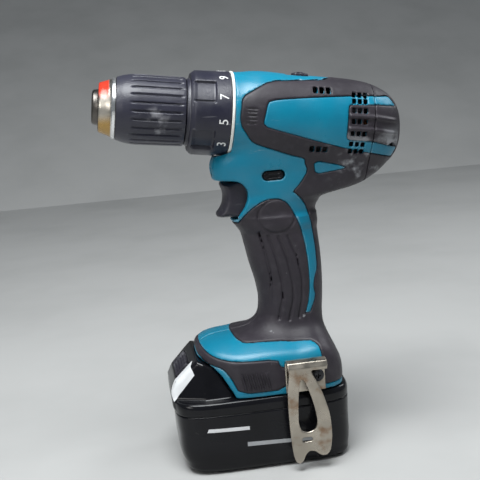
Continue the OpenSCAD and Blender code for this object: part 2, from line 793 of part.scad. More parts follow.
// One spur gear along the head axis; its first tooth points up, or a gap when gap is set
function tooth_point(m, z, k, rad, w) = let (a = 360 * k / z, h = w * 180 / PI / (m * z / 2))
    [rad * cos(a + h), rad * sin(a + h)];
module gear_outline(m, z, phase = 0) {
    tip = m * (z / 2 + 0.8);
    root = m * (z / 2 - 1.1);
    pitch_w = m * PI / 4 - backlash / 2;
    rotate(phase) polygon([for (k = [0:z - 1]) each [
        tooth_point(m, z, k, root, -pitch_w - 0.28 * m), tooth_point(m, z, k, m * z / 2, -pitch_w),
        tooth_point(m, z, k, tip, -pitch_w + 0.32 * m), tooth_point(m, z, k, tip, pitch_w - 0.32 * m),
        tooth_point(m, z, k, m * z / 2, pitch_w), tooth_point(m, z, k, root, pitch_w + 0.28 * m)]]);
}
module ring_outline(m, z) {
    tip = m * (z / 2 - 0.75);
    root = m * (z / 2 + 1.1);
    pitch_w = m * PI / 4 - backlash / 2;
    gap_w = m * PI / 2 - pitch_w;
    polygon([for (k = [0:z - 1]) each [
        tooth_point(m, z, k, tip, -gap_w - 0.26 * m), tooth_point(m, z, k, m * z / 2, -gap_w),
        tooth_point(m, z, k, root, -gap_w + 0.3 * m), tooth_point(m, z, k, root, gap_w - 0.3 * m),
        tooth_point(m, z, k, m * z / 2, gap_w), tooth_point(m, z, k, tip, gap_w + 0.26 * m)]]);
}
// Turns an outline's +Y to point up the head frame's Z, extruded rearward
module gear_solid(s, w) {
    translate([s, 0, 0]) rotate([90, 0, 90]) linear_extrude(w) children();
}
module ring_gear(s, w, r) {
    color(steel) head_frame() gear_solid(s, w) difference() {
        circle(r = r, $fn = 96);
        ring_outline(gear_m, ring_teeth);
    }
}
module ring_gear_1() {
    ring_gear(stage_1_s - 0.4, gear_w + 0.8, ring_outer);
}
module ring_gear_2() {
    color(steel) head_frame() difference() {
        gear_solid(stage_2_s - 0.8, gear_w + 2.6) difference() {
            circle(r = ring_outer - run_gap / 2, $fn = 96);
            ring_outline(gear_m, ring_teeth);
        }
        difference() {
            bar(fork_s - 1, 2, ring_outer + 1);
            bar(fork_s - 2, 4, ring_outer - 0.9);
        }
    }
}
module ring_gear_3() {
    ring_gear(stage_3_s - 0.4, gear_w + 0.8, ring_outer);
}

// A planet gear at the i-th third of a stage
module planet(s, sun, teeth, i) {
    place = 120 * i;
    orbit = gear_m * (sun + teeth) / 2;
    // one tooth points straight out, into a gap of the ring
    color(steel) head_frame() translate([0, orbit * cos(place), orbit * sin(place)])
        gear_solid(s, gear_w) difference() {
        gear_outline(gear_m, teeth, place);
        circle(r = pin_r + fit_gap, $fn = 24);
    }
}
module planet_1a() {
    planet(stage_1_s, sun_1_teeth, planet_1_teeth, 0);
}
module planet_1b() {
    planet(stage_1_s, sun_1_teeth, planet_1_teeth, 1);
}
module planet_1c() {
    planet(stage_1_s, sun_1_teeth, planet_1_teeth, 2);
}
module planet_2a() {
    planet(stage_2_s, sun_2_teeth, planet_2_teeth, 0);
}
module planet_2b() {
    planet(stage_2_s, sun_2_teeth, planet_2_teeth, 1);
}
module planet_2c() {
    planet(stage_2_s, sun_2_teeth, planet_2_teeth, 2);
}
module planet_3a() {
    planet(stage_3_s, sun_2_teeth, planet_2_teeth, 0);
}
module planet_3b() {
    planet(stage_3_s, sun_2_teeth, planet_2_teeth, 1);
}
module planet_3c() {
    planet(stage_3_s, sun_2_teeth, planet_2_teeth, 2);
}

// Plate ahead of a stage with its three pins, and the next stage's sun gear on its front
module carrier(s, sun, planet_teeth, next_sun, next_len, plate_r) {
    orbit = gear_m * (sun + planet_teeth) / 2;
    front = s - 0.4 - plate_t;
    color(steel) head_frame() {
        bar(front, plate_t, plate_r);
        for (i = [0:planet_count - 1]) translate([front + eps, orbit * cos(120 * i), orbit * sin(120 * i)])
            rotate([0, 90, 0]) cylinder(h = plate_t + gear_w + 0.3, r = pin_r);
        if (next_sun > 0) gear_solid(front - next_len, next_len + eps)
            gear_outline(gear_m, next_sun, sun_phase(next_sun, planet_2_teeth));
    }
}
// On the first planet's line a sun gear has a gap where the planet has a tooth
function sun_phase(sun, planet) = planet % 2 == 0 ? 180 / sun : 0;
module carrier_1() {
    carrier(stage_1_s, sun_1_teeth, planet_1_teeth, sun_2_teeth, 6.6, ring_outer - 3.4);
}
module carrier_2() {
    carrier(stage_2_s, sun_2_teeth, planet_2_teeth, sun_2_teeth, 7.4, ring_outer - 3.4);
}
module carrier_3() {
    carrier(stage_3_s, sun_2_teeth, planet_2_teeth, 0, 0, ring_outer - 3.4);
}

module spindle() {
    color(steel) head_frame() difference() {
        union() {
            bar(socket_s, chuck_rear + 2 - socket_s, spindle_thread_r);
            bar(socket_s + 2, stage_3_s - 0.4 - plate_t - socket_s - 2, spindle_r);
        }
        bar(socket_s - 2, 8, chuck_screw_r);
    }
}

motor_shaft_r = 1.6;
front_bearing_s = 32.6;
rear_bearing_s = seam + 11;
module ball_bearings() {
    color(steel) head_frame() {
        bar(-20, 5, bearing_r, spindle_r + fit_gap);
        bar(front_bearing_s, 3, 7, motor_shaft_r + fit_gap);
        bar(rear_bearing_s, 4.4, 8, motor_shaft_r + fit_gap);
    }
}

// ---- motor ---------------------------------------------------------------------
yoke_s = 50;
magnet_t = 2.1;
core_r = yoke_r - 1.6 - magnet_t - 0.6;
module motor_yoke() {
    color(steel) head_frame() {
        bar(yoke_s, yoke_len, yoke_r, yoke_r - 1.5);
        difference() {
            bar(front_bearing_s - 0.6, 3.6, gear_case_r - 0.4, 7 + fit_gap);
            for (i = [0:5]) rotate([60 * i + 30, 0, 0]) translate([front_bearing_s - 2, 0, 12])
                rotate([0, 90, 0]) cylinder(h = 8, r = 2.6);
        }
    }
}
module motor_magnets() {
    color(black) head_frame() difference() {
        bar(yoke_s + 1, yoke_len - 2, yoke_r - 1.55, yoke_r - 1.55 - magnet_t);
        for (turn = [45, 135]) rotate([turn, 0, 0]) translate([yoke_s, -1.6, -30]) cube([yoke_len, 3.2, 60]);
    }
}
commutator_s = 79.6;
commutator_r = 6.2;
module armature() {
    color([0.72, 0.4, 0.2]) head_frame() {
        // shaft ahead of the pinion stays inside it
        bar(stage_1_s + gear_w + 0.8, rear_bearing_s + 4 - stage_1_s - gear_w - 0.8, motor_shaft_r);
        difference() {
            bar(yoke_s + 2, yoke_len - 6, core_r, 0);
            for (i = [0:8]) rotate([40 * i, 0, 0]) translate([yoke_s + 1, -0.8, core_r - 5])
                cube([yoke_len, 1.6, 8]);
        }
        turned([[yoke_s - 4, 0], [yoke_s - 4, 8], [yoke_s - 2.4, 12.5], [yoke_s + 2 + eps, 12.5],
            [yoke_s + 2 + eps, 0]]);
        turned([[yoke_s + yoke_len - 4 - eps, 0], [yoke_s + yoke_len - 4 - eps, 12.5],
            [yoke_s + yoke_len, 11], [yoke_s + yoke_len + 1, 8], [yoke_s + yoke_len + 1, 0]]);
        difference() {
            bar(commutator_s, 8, commutator_r);
            for (i = [0:8]) rotate([40 * i, 0, 0]) translate([commutator_s - 1, -0.2, commutator_r - 0.5])
                cube([10, 0.4, 1]);
        }
    }
}
module motor_pinion() {
    color([0.8, 0.65, 0.3]) head_frame() difference() {
        gear_solid(stage_1_s - 0.3, gear_w + 2.6)
            gear_outline(gear_m, sun_1_teeth, sun_phase(sun_1_teeth, planet_1_teeth));
        bar(stage_1_s + gear_w + 0.8, 10, motor_shaft_r);
    }
}
fan_s = 38;
fan_r = 18.2;
fan_blades = 14;
module cooling_fan() {
    color(black) head_frame() {
        bar(fan_s, 1.4, fan_r, motor_shaft_r);
        bar(fan_s, 6.6, 4, motor_shaft_r);
        for (i = [0:fan_blades - 1]) rotate([360 * i / fan_blades, 0, 0])
            translate([fan_s + 1.3, -0.5, 9.5]) cube([5.2, 1, fan_r - 10]);
    }
}
brush_s = commutator_s + 1.2;
module brush_holder() {
    color([0.5, 0.36, 0.2]) head_frame() difference() {
        union() {
            bar(brush_s - 2.4 + 7, 2, rear_bore - 0.3, commutator_r + 1.4);
            for (side = [-1, 1]) translate([brush_s - 1, -3.4, side > 0 ? 8.4 : -15]) cube([6, 6.8, 6.6]);
        }
        for (side = [-1, 1]) translate([brush_s, -2.5, side > 0 ? 6 : -16]) cube([4, 5, 10]);
    }
}
module carbon_brushes() {
    color(black) head_frame() for (side = [-1, 1])
        translate([brush_s + 0.05, -2.45, side > 0 ? commutator_r + 0.1 : -commutator_r - 8.1])
        cube([3.9, 4.9, 8]);
}

// Two insulated wires from the switch down to the terminal block
lead_r = 1.2;
module motor_leads() {
    for (side = [-1, 1]) color(side > 0 ? "red" : black)
        translate([32, side * 3, block_z + 6]) cylinder(h = 147 - block_z - 6.05, r = lead_r, $fn = 24);
}

// ---- battery ---------------------------------------------------------------------
batt_sections = [
    [0, batt_front + 9, batt_rear - 5, batt_half_w - 4, 8],
    [2, batt_front + 5.5, batt_rear - 3, batt_half_w - 2, 8],
    [7, batt_front + 2.7, batt_rear - 1.6, batt_half_w - 0.9, 8],
    [26.5, batt_front + 0.3, batt_rear - 0.4, batt_half_w - 0.3, 8],
    [41, batt_front - 0.6, batt_rear, batt_half_w, 8],
    [43.5, batt_front - 0.9, batt_rear, batt_half_w - 0.2, 8],
    [foot_z - 0.5, batt_front - 1.1, batt_rear - 0.8, batt_half_w - 1.8, 8]];
batt_split = 38;
case_t = 1.8;
module batt_form(d = 0) {
    loft(batt_sections, d, false, d);
    if (d == 0) batt_head();
}
// The slanted nose that carries the release button
module batt_head() {
    hull() {
        translate([batt_front - 0.9, -30, foot_z - 2]) cube([30, 60, 1]);
        translate([nose_low[0], -27, nose_low[1] - 0.6]) cube([26, 54, 0.6]);
        translate([nose_high[0], -25, nose_high[1] - 0.6]) cube([1.4, 50, 0.6]);
        translate([-29.4, -26.5, 63]) cube([1.2, 53, 0.4]);
        translate([-20, -30, foot_z - 1.2]) cube([1, 60, 0.2]);
    }
}
module below(z) {
    translate([-big / 2, -big / 2, z - big]) cube(big);
}
module batt_cavity() {
    intersection() {
        loft(batt_sections, case_t, false, case_t);
        below(foot_z - 2.3);
    }
}
module battery_case() {
    color(black) intersection() {
        difference() {
            batt_form();
            batt_cavity();
        }
        below(batt_split);
    }
}
blade_y = 15;
blade_t = 0.8;
blade_x = 6;
blade_len = 14;
module battery_cover() {
    color(black) difference() {
        union() {
            difference() {
                batt_form();
                batt_cavity();
            }
            // rail with a groove along each side
            translate([-19.5, -rail_half_w, foot_z - 1])
                cube([foot_bay_rear + 18.5, 2 * rail_half_w, rail_top - foot_z + 0.4]);
            for (side = [-1, 1]) translate([-18, side * 27.6 - 1.6, lip_z + lip_h + 0.4])
                cube([foot_bay_rear + 16.5, 3.2, 3]);
        }
        translate([-15, -22, foot_z - 6]) cube([50, 44, rail_top - foot_z + 2.5]);
        below(batt_split + eps / 2);
        // contact slots, open to the rear
        for (side = [-1, 1]) translate([-10, side * blade_y - 1.6, 44]) cube([60, 3.2, 20]);
        button_frame()
            translate([-button_h / 2 - run_gap, -button_half_w - run_gap, -button_t - button_spring_len])
            cube([button_h + 2 * run_gap, 2 * (button_half_w + run_gap), 30]);
    }
}
cell_cols = 5;
cell_len = 65;
cell_pitch = 2 * cell_r + 0.2;
module battery_cells() {
    color([0.2, 0.45, 0.3]) for (i = [0:cell_cols - 1]) for (row = [0, 1])
        translate([cell_pitch * (i - 2) - 0.2, 0, case_t + 1.2 + cell_r + cell_pitch * row])
        rotate([90, 0, 0]) cylinder(h = cell_len, r = cell_r, center = true);
}
button_half_w = 13;
button_h = 10;
button_t = 5;
button_proud = 1;
button_spring_len = 6;
// Middle of the battery's slanted nose face, with +Z along the face's outward normal
module button_frame() {
    translate([(nose_low[0] + nose_high[0]) / 2, 0, (nose_low[1] + nose_high[1]) / 2])
        rotate([0, -atan2(nose_high[1] - nose_low[1], nose_high[0] - nose_low[0]), 0]) children();
}
module battery_button() {
    color([0.5, 0.06, 0.06]) button_frame() translate([-button_h / 2, -button_half_w, -button_t])
        cube([button_h, 2 * button_half_w, button_t + button_proud]);
}
module button_spring() {
    color(steel) button_frame() translate([0, 0, -button_t - button_spring_len + 0.05]) rotate([0, -90, 0])
        coil(button_spring_len - 0.1, 3, 0.4, 5, 16);
}
module battery_terminals() {
    color("gold") {
        translate([-15, -22, 43.6]) cube([50, 44, 1.4]);
        for (side = [-1, 1]) for (leaf = [-1, 1])
            translate([4, side * blade_y + leaf - 0.25, 45 - eps]) cube([10, 0.5, 9]);
    }
}
block_z = rail_top + 2.2;
module terminal_block() {
    color(black) translate([0, -22, block_z]) cube([36, 44, 6]);
    color(steel) for (side = [-1, 1]) translate([blade_x, side * blade_y - blade_t / 2, 48])
        cube([blade_len, blade_t, block_z - 47]);
}

housing_left();
housing_right();
grip_left();
grip_right();
rear_cover();
housing_screws();
index_ring();
trigger();
trigger_spring();
switch_body();
reverse_lever();
speed_lever();
shift_fork();
led_lamp();
belt_hook();
hook_screw();
spindle();
chuck_body();
chuck_sleeve();
chuck_nut();
jaw_1();
jaw_2();
jaw_3();
chuck_screw();
torque_collar();
clutch_nut();
clutch_spring();
clutch_balls();
gear_case();
ball_bearings();
ring_gear_1();
ring_gear_2();
ring_gear_3();
carrier_1();
carrier_2();
carrier_3();
planet_1a();
planet_1b();
planet_1c();
planet_2a();
planet_2b();
planet_2c();
planet_3a();
planet_3b();
planet_3c();
motor_yoke();
motor_magnets();
armature();
motor_pinion();
cooling_fan();
brush_holder();
carbon_brushes();
motor_leads();
battery_case();
battery_cover();
battery_cells();
battery_button();
battery_terminals();
button_spring();
terminal_block();
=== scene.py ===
"""Visible shells, controls and finishes of a cordless drill driver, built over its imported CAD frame."""

import logging
import math
from dataclasses import dataclass, field
from enum import Enum
from typing import Callable, Iterable, Sequence

import bmesh
import bpy
import numpy as np
from mathutils import Matrix, Vector


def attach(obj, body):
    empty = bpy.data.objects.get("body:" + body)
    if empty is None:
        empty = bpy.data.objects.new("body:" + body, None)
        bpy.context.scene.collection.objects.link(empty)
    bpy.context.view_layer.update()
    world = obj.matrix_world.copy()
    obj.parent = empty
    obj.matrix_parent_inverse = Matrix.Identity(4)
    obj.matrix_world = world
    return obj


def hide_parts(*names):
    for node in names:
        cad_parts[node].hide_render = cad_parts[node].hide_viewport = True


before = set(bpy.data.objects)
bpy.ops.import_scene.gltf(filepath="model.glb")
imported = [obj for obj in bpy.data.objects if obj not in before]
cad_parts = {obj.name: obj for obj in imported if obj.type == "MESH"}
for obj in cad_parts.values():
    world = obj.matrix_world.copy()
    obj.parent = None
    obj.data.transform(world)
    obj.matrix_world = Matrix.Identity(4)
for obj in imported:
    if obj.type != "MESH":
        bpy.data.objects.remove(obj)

log = logging.getLogger("drill")

Array = np.ndarray
Socket = bpy.types.NodeSocket
Point = tuple[float, float]
Colour = tuple[float, float, float]
Place = tuple[float, float, float]
Box = tuple[Place, Place]
Field = Callable[[Array, Array, Array], Array]

# Every size is in millimetres and every place in the row frame, unless a name says otherwise.
MM = 0.001
HEAD_X, HEAD_Z = -4.0, 215.0  # where the chuck axis leaves the housing's front face
TILT = math.radians(8.0)
SEAM_S = 84.0  # seam of the rear cover, along the chuck axis
SEAM_GAP = 0.15
TAIL_S = 106.5
HALF_GAP = 0.02  # from each housing half to the middle plane
FOOT_Z = 46.6  # lower edge of the foot
FAR = 50.0  # stands for "no opening near here"
HOOK_SCREW = (31.6, 57.0)
SCREW_BORE = 3.1
LEVER_AT = (16.9, 177.9)
BUTTON_AT = (-48.2, 61.4)
BUTTON_LEAN = math.radians(43.1)
COARSE = 1.0


class Side(Enum):
    """The two halves of the clamshell housing."""

    LEFT = -1
    RIGHT = 1


# ---- places along the chuck axis -----------------------------------------------


def head_place(x: Array, z: Array) -> tuple[Array, Array]:
    """Turn side-view places into places along and above the chuck axis.

    Args:
        x: Places along X in millimetres.
        z: Heights in millimetres.

    Returns:
        Distance rearward of the housing's front face, and height above the axis.
    """
    dx, dz = x - HEAD_X, z - HEAD_Z
    c, s = math.cos(TILT), math.sin(TILT)
    return dx * c - dz * s, dx * s + dz * c


def from_head(points: Array) -> Array:
    """Turn (s, y, t) points of the chuck axis frame into the row frame."""
    p = np.asarray(points, float)
    c, s = math.cos(TILT), math.sin(TILT)
    out = np.empty_like(p)
    out[..., 0] = HEAD_X + p[..., 0] * c + p[..., 2] * s
    out[..., 1] = p[..., 1]
    out[..., 2] = HEAD_Z - p[..., 0] * s + p[..., 2] * c
    return out


# ---- signed distances -------------------------------------------------------------


def soft_max(a: Array, b: Array, k: float) -> Array:
    """Return the larger of two distances, rounded over a width k where they meet."""
    h = np.clip(0.5 + 0.5 * (a - b) / k, 0.0, 1.0)
    return b + (a - b) * h + k * h * (1.0 - h)


def soft_min(a: Array, b: Array, k: float) -> Array:
    """Return the smaller of two distances, filleted over a width k where they meet."""
    return -soft_max(-a, -b, k)


def step_up(v: Array, low: float, high: float) -> Array:
    """Return a smooth step from 0 at low to 1 at high."""
    u = np.clip((v - low) / (high - low), 0.0, 1.0)
    return u * u * (3.0 - 2.0 * u)


def ridge(v: Array, middle: float, half: float, soft: float) -> Array:
    """Return a smooth bump of height 1 within half of the middle, fading over soft."""
    return 1.0 - step_up(np.abs(v - middle), half - soft / 2, half + soft / 2)


def rounded(points: Sequence[Point], rounds: int = 2, cut: float = 0.2) -> Array:
    """Cut the corners of a closed outline.

    Args:
        points: The outline's corners in order.
        rounds: How many times each corner is cut.
        cut: Share of each edge that a cut takes.

    Returns:
        The smoother outline's points.
    """
    p = np.array(points, float)
    for _ in range(rounds):
        q = np.roll(p, -1, axis=0)
        p = np.stack([(1 - cut) * p + cut * q, cut * p + (1 - cut) * q], axis=1).reshape(-1, 2)
    return p


def outline_distance(u: Array, v: Array, points: Array) -> Array:
    """Signed distance to a closed outline, negative inside it.

    Args:
        u: First coordinates of the places asked for.
        v: Second coordinates, in a shape that goes with u.
        points: The outline's points in order.

    Returns:
        The signed distance at each place.
    """
    u, v = np.broadcast_arrays(u, v)
    near = np.full(u.shape, 1e9)
    inside = np.zeros(u.shape, bool)
    pts = np.asarray(points, float)
    for (ax, ay), (bx, by) in zip(pts, np.roll(pts, -1, axis=0)):
        ex, ey = bx - ax, by - ay
        length = ex * ex + ey * ey
        if length < 1e-12:
            continue
        wx, wy = u - ax, v - ay
        k = np.clip((wx * ex + wy * ey) / length, 0.0, 1.0)
        near = np.minimum(near, (wx - ex * k) ** 2 + (wy - ey * k) ** 2)
        if ay != by:
            crosses = ((ay > v) != (by > v)) & (u < ex * (v - ay) / ey + ax)
            inside ^= crosses
    return np.where(inside, -1.0, 1.0) * np.sqrt(near)


def line_distance(u: Array, v: Array, points: Sequence[Point]) -> Array:
    """Distance to an open line of points."""
    near = np.full(np.broadcast(u, v).shape, 1e9)
    for (ax, ay), (bx, by) in zip(points[:-1], points[1:]):
        ex, ey = bx - ax, by - ay
        wx, wy = u - ax, v - ay
        k = np.clip((wx * ex + wy * ey) / (ex * ex + ey * ey), 0.0, 1.0)
        near = np.minimum(near, (wx - ex * k) ** 2 + (wy - ey * k) ** 2)
    return np.sqrt(near)


def box_distance(u: Array, v: Array, low: Point, high: Point, r: float = 0.3) -> Array:
    """Signed distance to a flat box with corners rounded to r."""
    a = np.abs(u - (low[0] + high[0]) / 2) - (high[0] - low[0]) / 2 + r
    b = np.abs(v - (low[1] + high[1]) / 2) - (high[1] - low[1]) / 2 + r
    return np.hypot(np.maximum(a, 0), np.maximum(b, 0)) + np.minimum(np.maximum(a, b), 0) - r


def through(v: Array, stations: Sequence[float], values: Sequence[float]) -> Array:
    """Smooth curve through values at stations, held flat outside them."""
    s = np.array(stations, float)
    f = np.array(values, float)
    slope = np.gradient(f, s)
    x = np.clip(v, s[0], s[-1])
    i = np.clip(np.searchsorted(s, x, side="right") - 1, 0, len(s) - 2)
    h = s[i + 1] - s[i]
    u = (x - s[i]) / h
    a = f[i] * (1 + 2 * u) * (1 - u) ** 2 + f[i + 1] * u * u * (3 - 2 * u)
    return a + h * (slope[i] * u * (1 - u) ** 2 - slope[i + 1] * u * u * (1 - u))


def section_distance(a: Array, b: Array, half_a: Array, half_b: Array, square: Array) -> Array:
    """Signed distance to a superellipse, scaled to be true near its edge.

    Args:
        a: Distances from the middle along the first axis.
        b: Distances from the middle along the second axis.
        half_a: Half width along the first axis.
        half_b: Half width along the second axis.
        square: The superellipse's exponent; 2 is an ellipse.

    Returns:
        The distance, negative inside.
    """
    p = np.abs(a) / half_a + 1e-4
    q = np.abs(b) / half_b + 1e-4
    r = (p**square + q**square) ** (1.0 / square)
    slope = np.hypot((p / r) ** (square - 1) / half_a, (q / r) ** (square - 1) / half_b)
    return (r - 1.0) / slope


@dataclass(frozen=True)
class Loft:
    """A lofted form: rows of (station, low, high, half width, squareness)."""

    rows: tuple[tuple[float, float, float, float, float], ...]

    def distance(self, along: Array, across: Array, y: Array) -> Array:
        """Signed distance to the loft's wall, leaving its ends open.

        Args:
            along: Places along the loft.
            across: Places on the low-to-high axis.
            y: Places across the object's width.

        Returns:
            The distance, negative inside.
        """
        at = [r[0] for r in self.rows]
        low, high, half, square = (through(along, at, [r[i] for r in self.rows]) for i in (1, 2, 3, 4))
        return section_distance(across - (low + high) / 2, y, (high - low) / 2, half, square)


def net(values: Array, origin: Array, step: float) -> tuple[Array, Array]:
    """Skin the zero surface of a grid of signed distances with quads.

    Args:
        values: Distances on the grid, negative inside.
        origin: Place of the grid's first corner.
        step: Spacing of the grid.

    Returns:
        Vertex places and quad corner indices, facing outwards.
    """
    inside = values < 0
    cells = tuple(n - 1 for n in values.shape)
    total = int(np.prod(cells))
    sums = np.zeros((3, total))
    count = np.zeros(total)
    strides = np.array([cells[1] * cells[2], cells[2], 1])
    edges = []
    for axis in range(3):
        a = [slice(None)] * 3
        b = [slice(None)] * 3
        a[axis], b[axis] = slice(None, -1), slice(1, None)
        change = inside[tuple(a)] != inside[tuple(b)]
        at = np.argwhere(change)
        va = values[tuple(a)][change]
        vb = values[tuple(b)][change]
        place = at.astype(float)
        place[:, axis] += va / (va - vb)
        others = [k for k in range(3) if k != axis]
        ids = []
        for du, dv in ((0, 0), (-1, 0), (-1, -1), (0, -1)):
            cell = at.copy()
            cell[:, others[0]] += du
            cell[:, others[1]] += dv
            good = np.all((cell >= 0) & (cell < np.array(cells)), axis=1)
            flat = np.where(good, cell @ strides, -1)
            ids.append(flat)
            for k in range(3):
                sums[k] += np.bincount(flat[good], weights=place[good, k], minlength=total)
            count += np.bincount(flat[good], minlength=total)
        turn = (va < 0) != (axis == 1)
        edges.append((np.stack(ids, axis=1), turn))
    used = count > 0
    name = np.cumsum(used) - 1
    verts = (sums[:, used] / count[used]).T * step + origin
    faces = []
    for quad, turn in edges:
        whole = np.all(quad >= 0, axis=1)
        quad, turn = quad[whole], turn[whole]
        quad = np.where(turn[:, None], quad, quad[:, ::-1])
        faces.append(name[quad])
    return verts, np.concatenate(faces)


def settle(verts: Array, shape: Field, step: float, rounds: int = 2) -> Array:
    """Move a net's vertices onto the true surface of a field.

    Args:
        verts: Vertex places.
        shape: The field whose zero surface they belong on.
        step: The net's spacing, which limits each move.
        rounds: How many times they are moved.

    Returns:
        The moved places.
    """
    e = 0.05
    for _ in range(rounds):
        x, y, z = verts.T
        here = shape(x, y, z)
        slope = np.stack(
            [
                shape(x + e, y, z) - shape(x - e, y, z),
                shape(x, y + e, z) - shape(x, y - e, z),
                shape(x, y, z + e) - shape(x, y, z - e),
            ],
            axis=1,
        ) / (2 * e)
        size = np.maximum((slope**2).sum(axis=1), 0.25)
        move = -(here / size)[:, None] * slope
        length = np.linalg.norm(move, axis=1)
        move *= np.minimum(1.0, 0.4 * step / np.maximum(length, 1e-9))[:, None]
        verts = verts + move
    return verts


def carve(shape: Field, low: Sequence[float], high: Sequence[float], step: float) -> tuple[Array, Array]:
    """Mesh a field inside a box.

    Args:
        shape: Signed distance of x, y and z in millimetres.
        low: The box's lowest corner.
        high: The box's highest corner.
        step: Grid spacing in millimetres.

    Returns:
        Vertex places in millimetres and quads.
    """
    step = step * COARSE
    axes = [np.arange(a, b + step, step) for a, b in zip(low, high)]
    values = shape(axes[0][:, None, None], axes[1][None, :, None], axes[2][None, None, :])
    values = np.broadcast_to(values, tuple(len(a) for a in axes)).copy()
    for axis in range(3):
        for end in (0, -1):
            cut = [slice(None)] * 3
            cut[axis] = end
            values[tuple(cut)] = np.maximum(values[tuple(cut)], 0.01)
    verts, faces = net(values, np.array([a[0] for a in axes]), step)
    return settle(verts, shape, step), faces


# ---- meshes -------------------------------------------------------------------------


def stand(name: str, data: bpy.types.ID) -> bpy.types.Object:
    """Make an object of its data and link it into the scene."""
    obj = bpy.data.objects.new(name, data)
    bpy.context.scene.collection.objects.link(obj)
    return obj


def mesh_piece(
    name: str,
    verts: Array,
    faces: Iterable[Sequence[int]],
    material: bpy.types.Material,
    sharp: float | None = None,
) -> bpy.types.Object:
    """Make an object from vertices in millimetres of the row frame.

    Args:
        name: The piece's name.
        verts: Vertex places in millimetres.
        faces: Corner indices of each face.
        material: The finish.
        sharp: Angle in degrees past which edges stay sharp; smooth everywhere if not given.

    Returns:
        The linked object, at the origin.
    """
    mesh = bpy.data.meshes.new(name)
    faces = faces.tolist() if isinstance(faces, np.ndarray) else [list(f) for f in faces]
    mesh.from_pydata((np.asarray(verts) * MM).tolist(), [], faces)
    mesh.validate()
    mesh.polygons.foreach_set("use_smooth", [True] * len(mesh.polygons))
    if sharp is not None:
        mesh.set_sharp_from_angle(angle=math.radians(sharp))
    mesh.materials.append(material)
    return stand(name, mesh)


def thin_out(obj: bpy.types.Object, ratio: float) -> None:
    """Collapse a dense net to a share of its faces and keep it as a plain mesh."""
    if ratio >= 1.0:
        return
    mod = obj.modifiers.new("thin", "DECIMATE")
    mod.ratio = ratio
    bake(obj)


def bake(obj: bpy.types.Object) -> None:
    """Replace an object's mesh with its evaluated one and drop its modifiers."""
    deps = bpy.context.evaluated_depsgraph_get()
    done = bpy.data.meshes.new_from_object(obj.evaluated_get(deps), depsgraph=deps)
    obj.modifiers.clear()
    obj.data = done


def carved(name: str, shape: Field, box: Box, step: float, material: bpy.types.Material,
           keep: float = 1.0) -> bpy.types.Object:
    """Mesh a field inside a box as a piece.

    Args:
        name: The piece's name.
        shape: Signed distance of x, y and z.
        box: The box's lowest and highest corner.
        step: Grid spacing.
        material: The finish.
        keep: Share of the faces that stays.

    Returns:
        The piece.
    """
    piece = mesh_piece(name, *carve(shape, *box, step), material)
    thin_out(piece, keep)
    return piece


def turned_piece(
    name: str,
    profile: Sequence[Point],
    material: bpy.types.Material,
    sides: int = 128,
    relief: Callable[[Array, Array, Array], Array] | None = None,
    sharp: float = 28.0,
) -> bpy.types.Object:
    """Turn a closed profile about the chuck axis.

    Args:
        name: The piece's name.
        profile: Closed outline of (place along the axis, radius), in order.
        material: The finish.
        sides: Number of sides round the axis.
        relief: Change of radius for arrays of place, radius and angle.
        sharp: Angle in degrees past which edges stay sharp.

    Returns:
        The piece.
    """
    p = np.array(profile, float)
    if np.sum(p[:, 0] * np.roll(p[:, 1], -1) - np.roll(p[:, 0], -1) * p[:, 1]) > 0:
        p = p[::-1]
    angle = np.linspace(0, 2 * math.pi, sides, endpoint=False)
    s, a = np.meshgrid(p[:, 0], angle, indexing="ij")
    r = np.repeat(p[:, 1][:, None], sides, axis=1)
    if relief is not None:
        r = r + relief(s, r, a)
    points = np.stack([s, -r * np.sin(a), r * np.cos(a)], axis=-1)
    rows, n = len(p), sides
    faces = []
    for i in range(rows):
        j = (i + 1) % rows
        for k in range(n):
            m = (k + 1) % n
            faces.append((i * n + k, j * n + k, j * n + m, i * n + m))
    return mesh_piece(name, from_head(points.reshape(-1, 3)), faces, material, sharp)


def edge_line(points: Sequence[Point], per_mm: float) -> list[Point]:
    """Fill an outline's straight runs with points so that relief can follow them."""
    out: list[Point] = []
    for a, b in zip(points[:-1], points[1:]):
        n = max(1, int(math.hypot(b[0] - a[0], b[1] - a[1]) * per_mm))
        out += [(a[0] + (b[0] - a[0]) * i / n, a[1] + (b[1] - a[1]) * i / n) for i in range(n)]
    out.append(points[-1])
    return out


# ---- finishes -------------------------------------------------------------------------


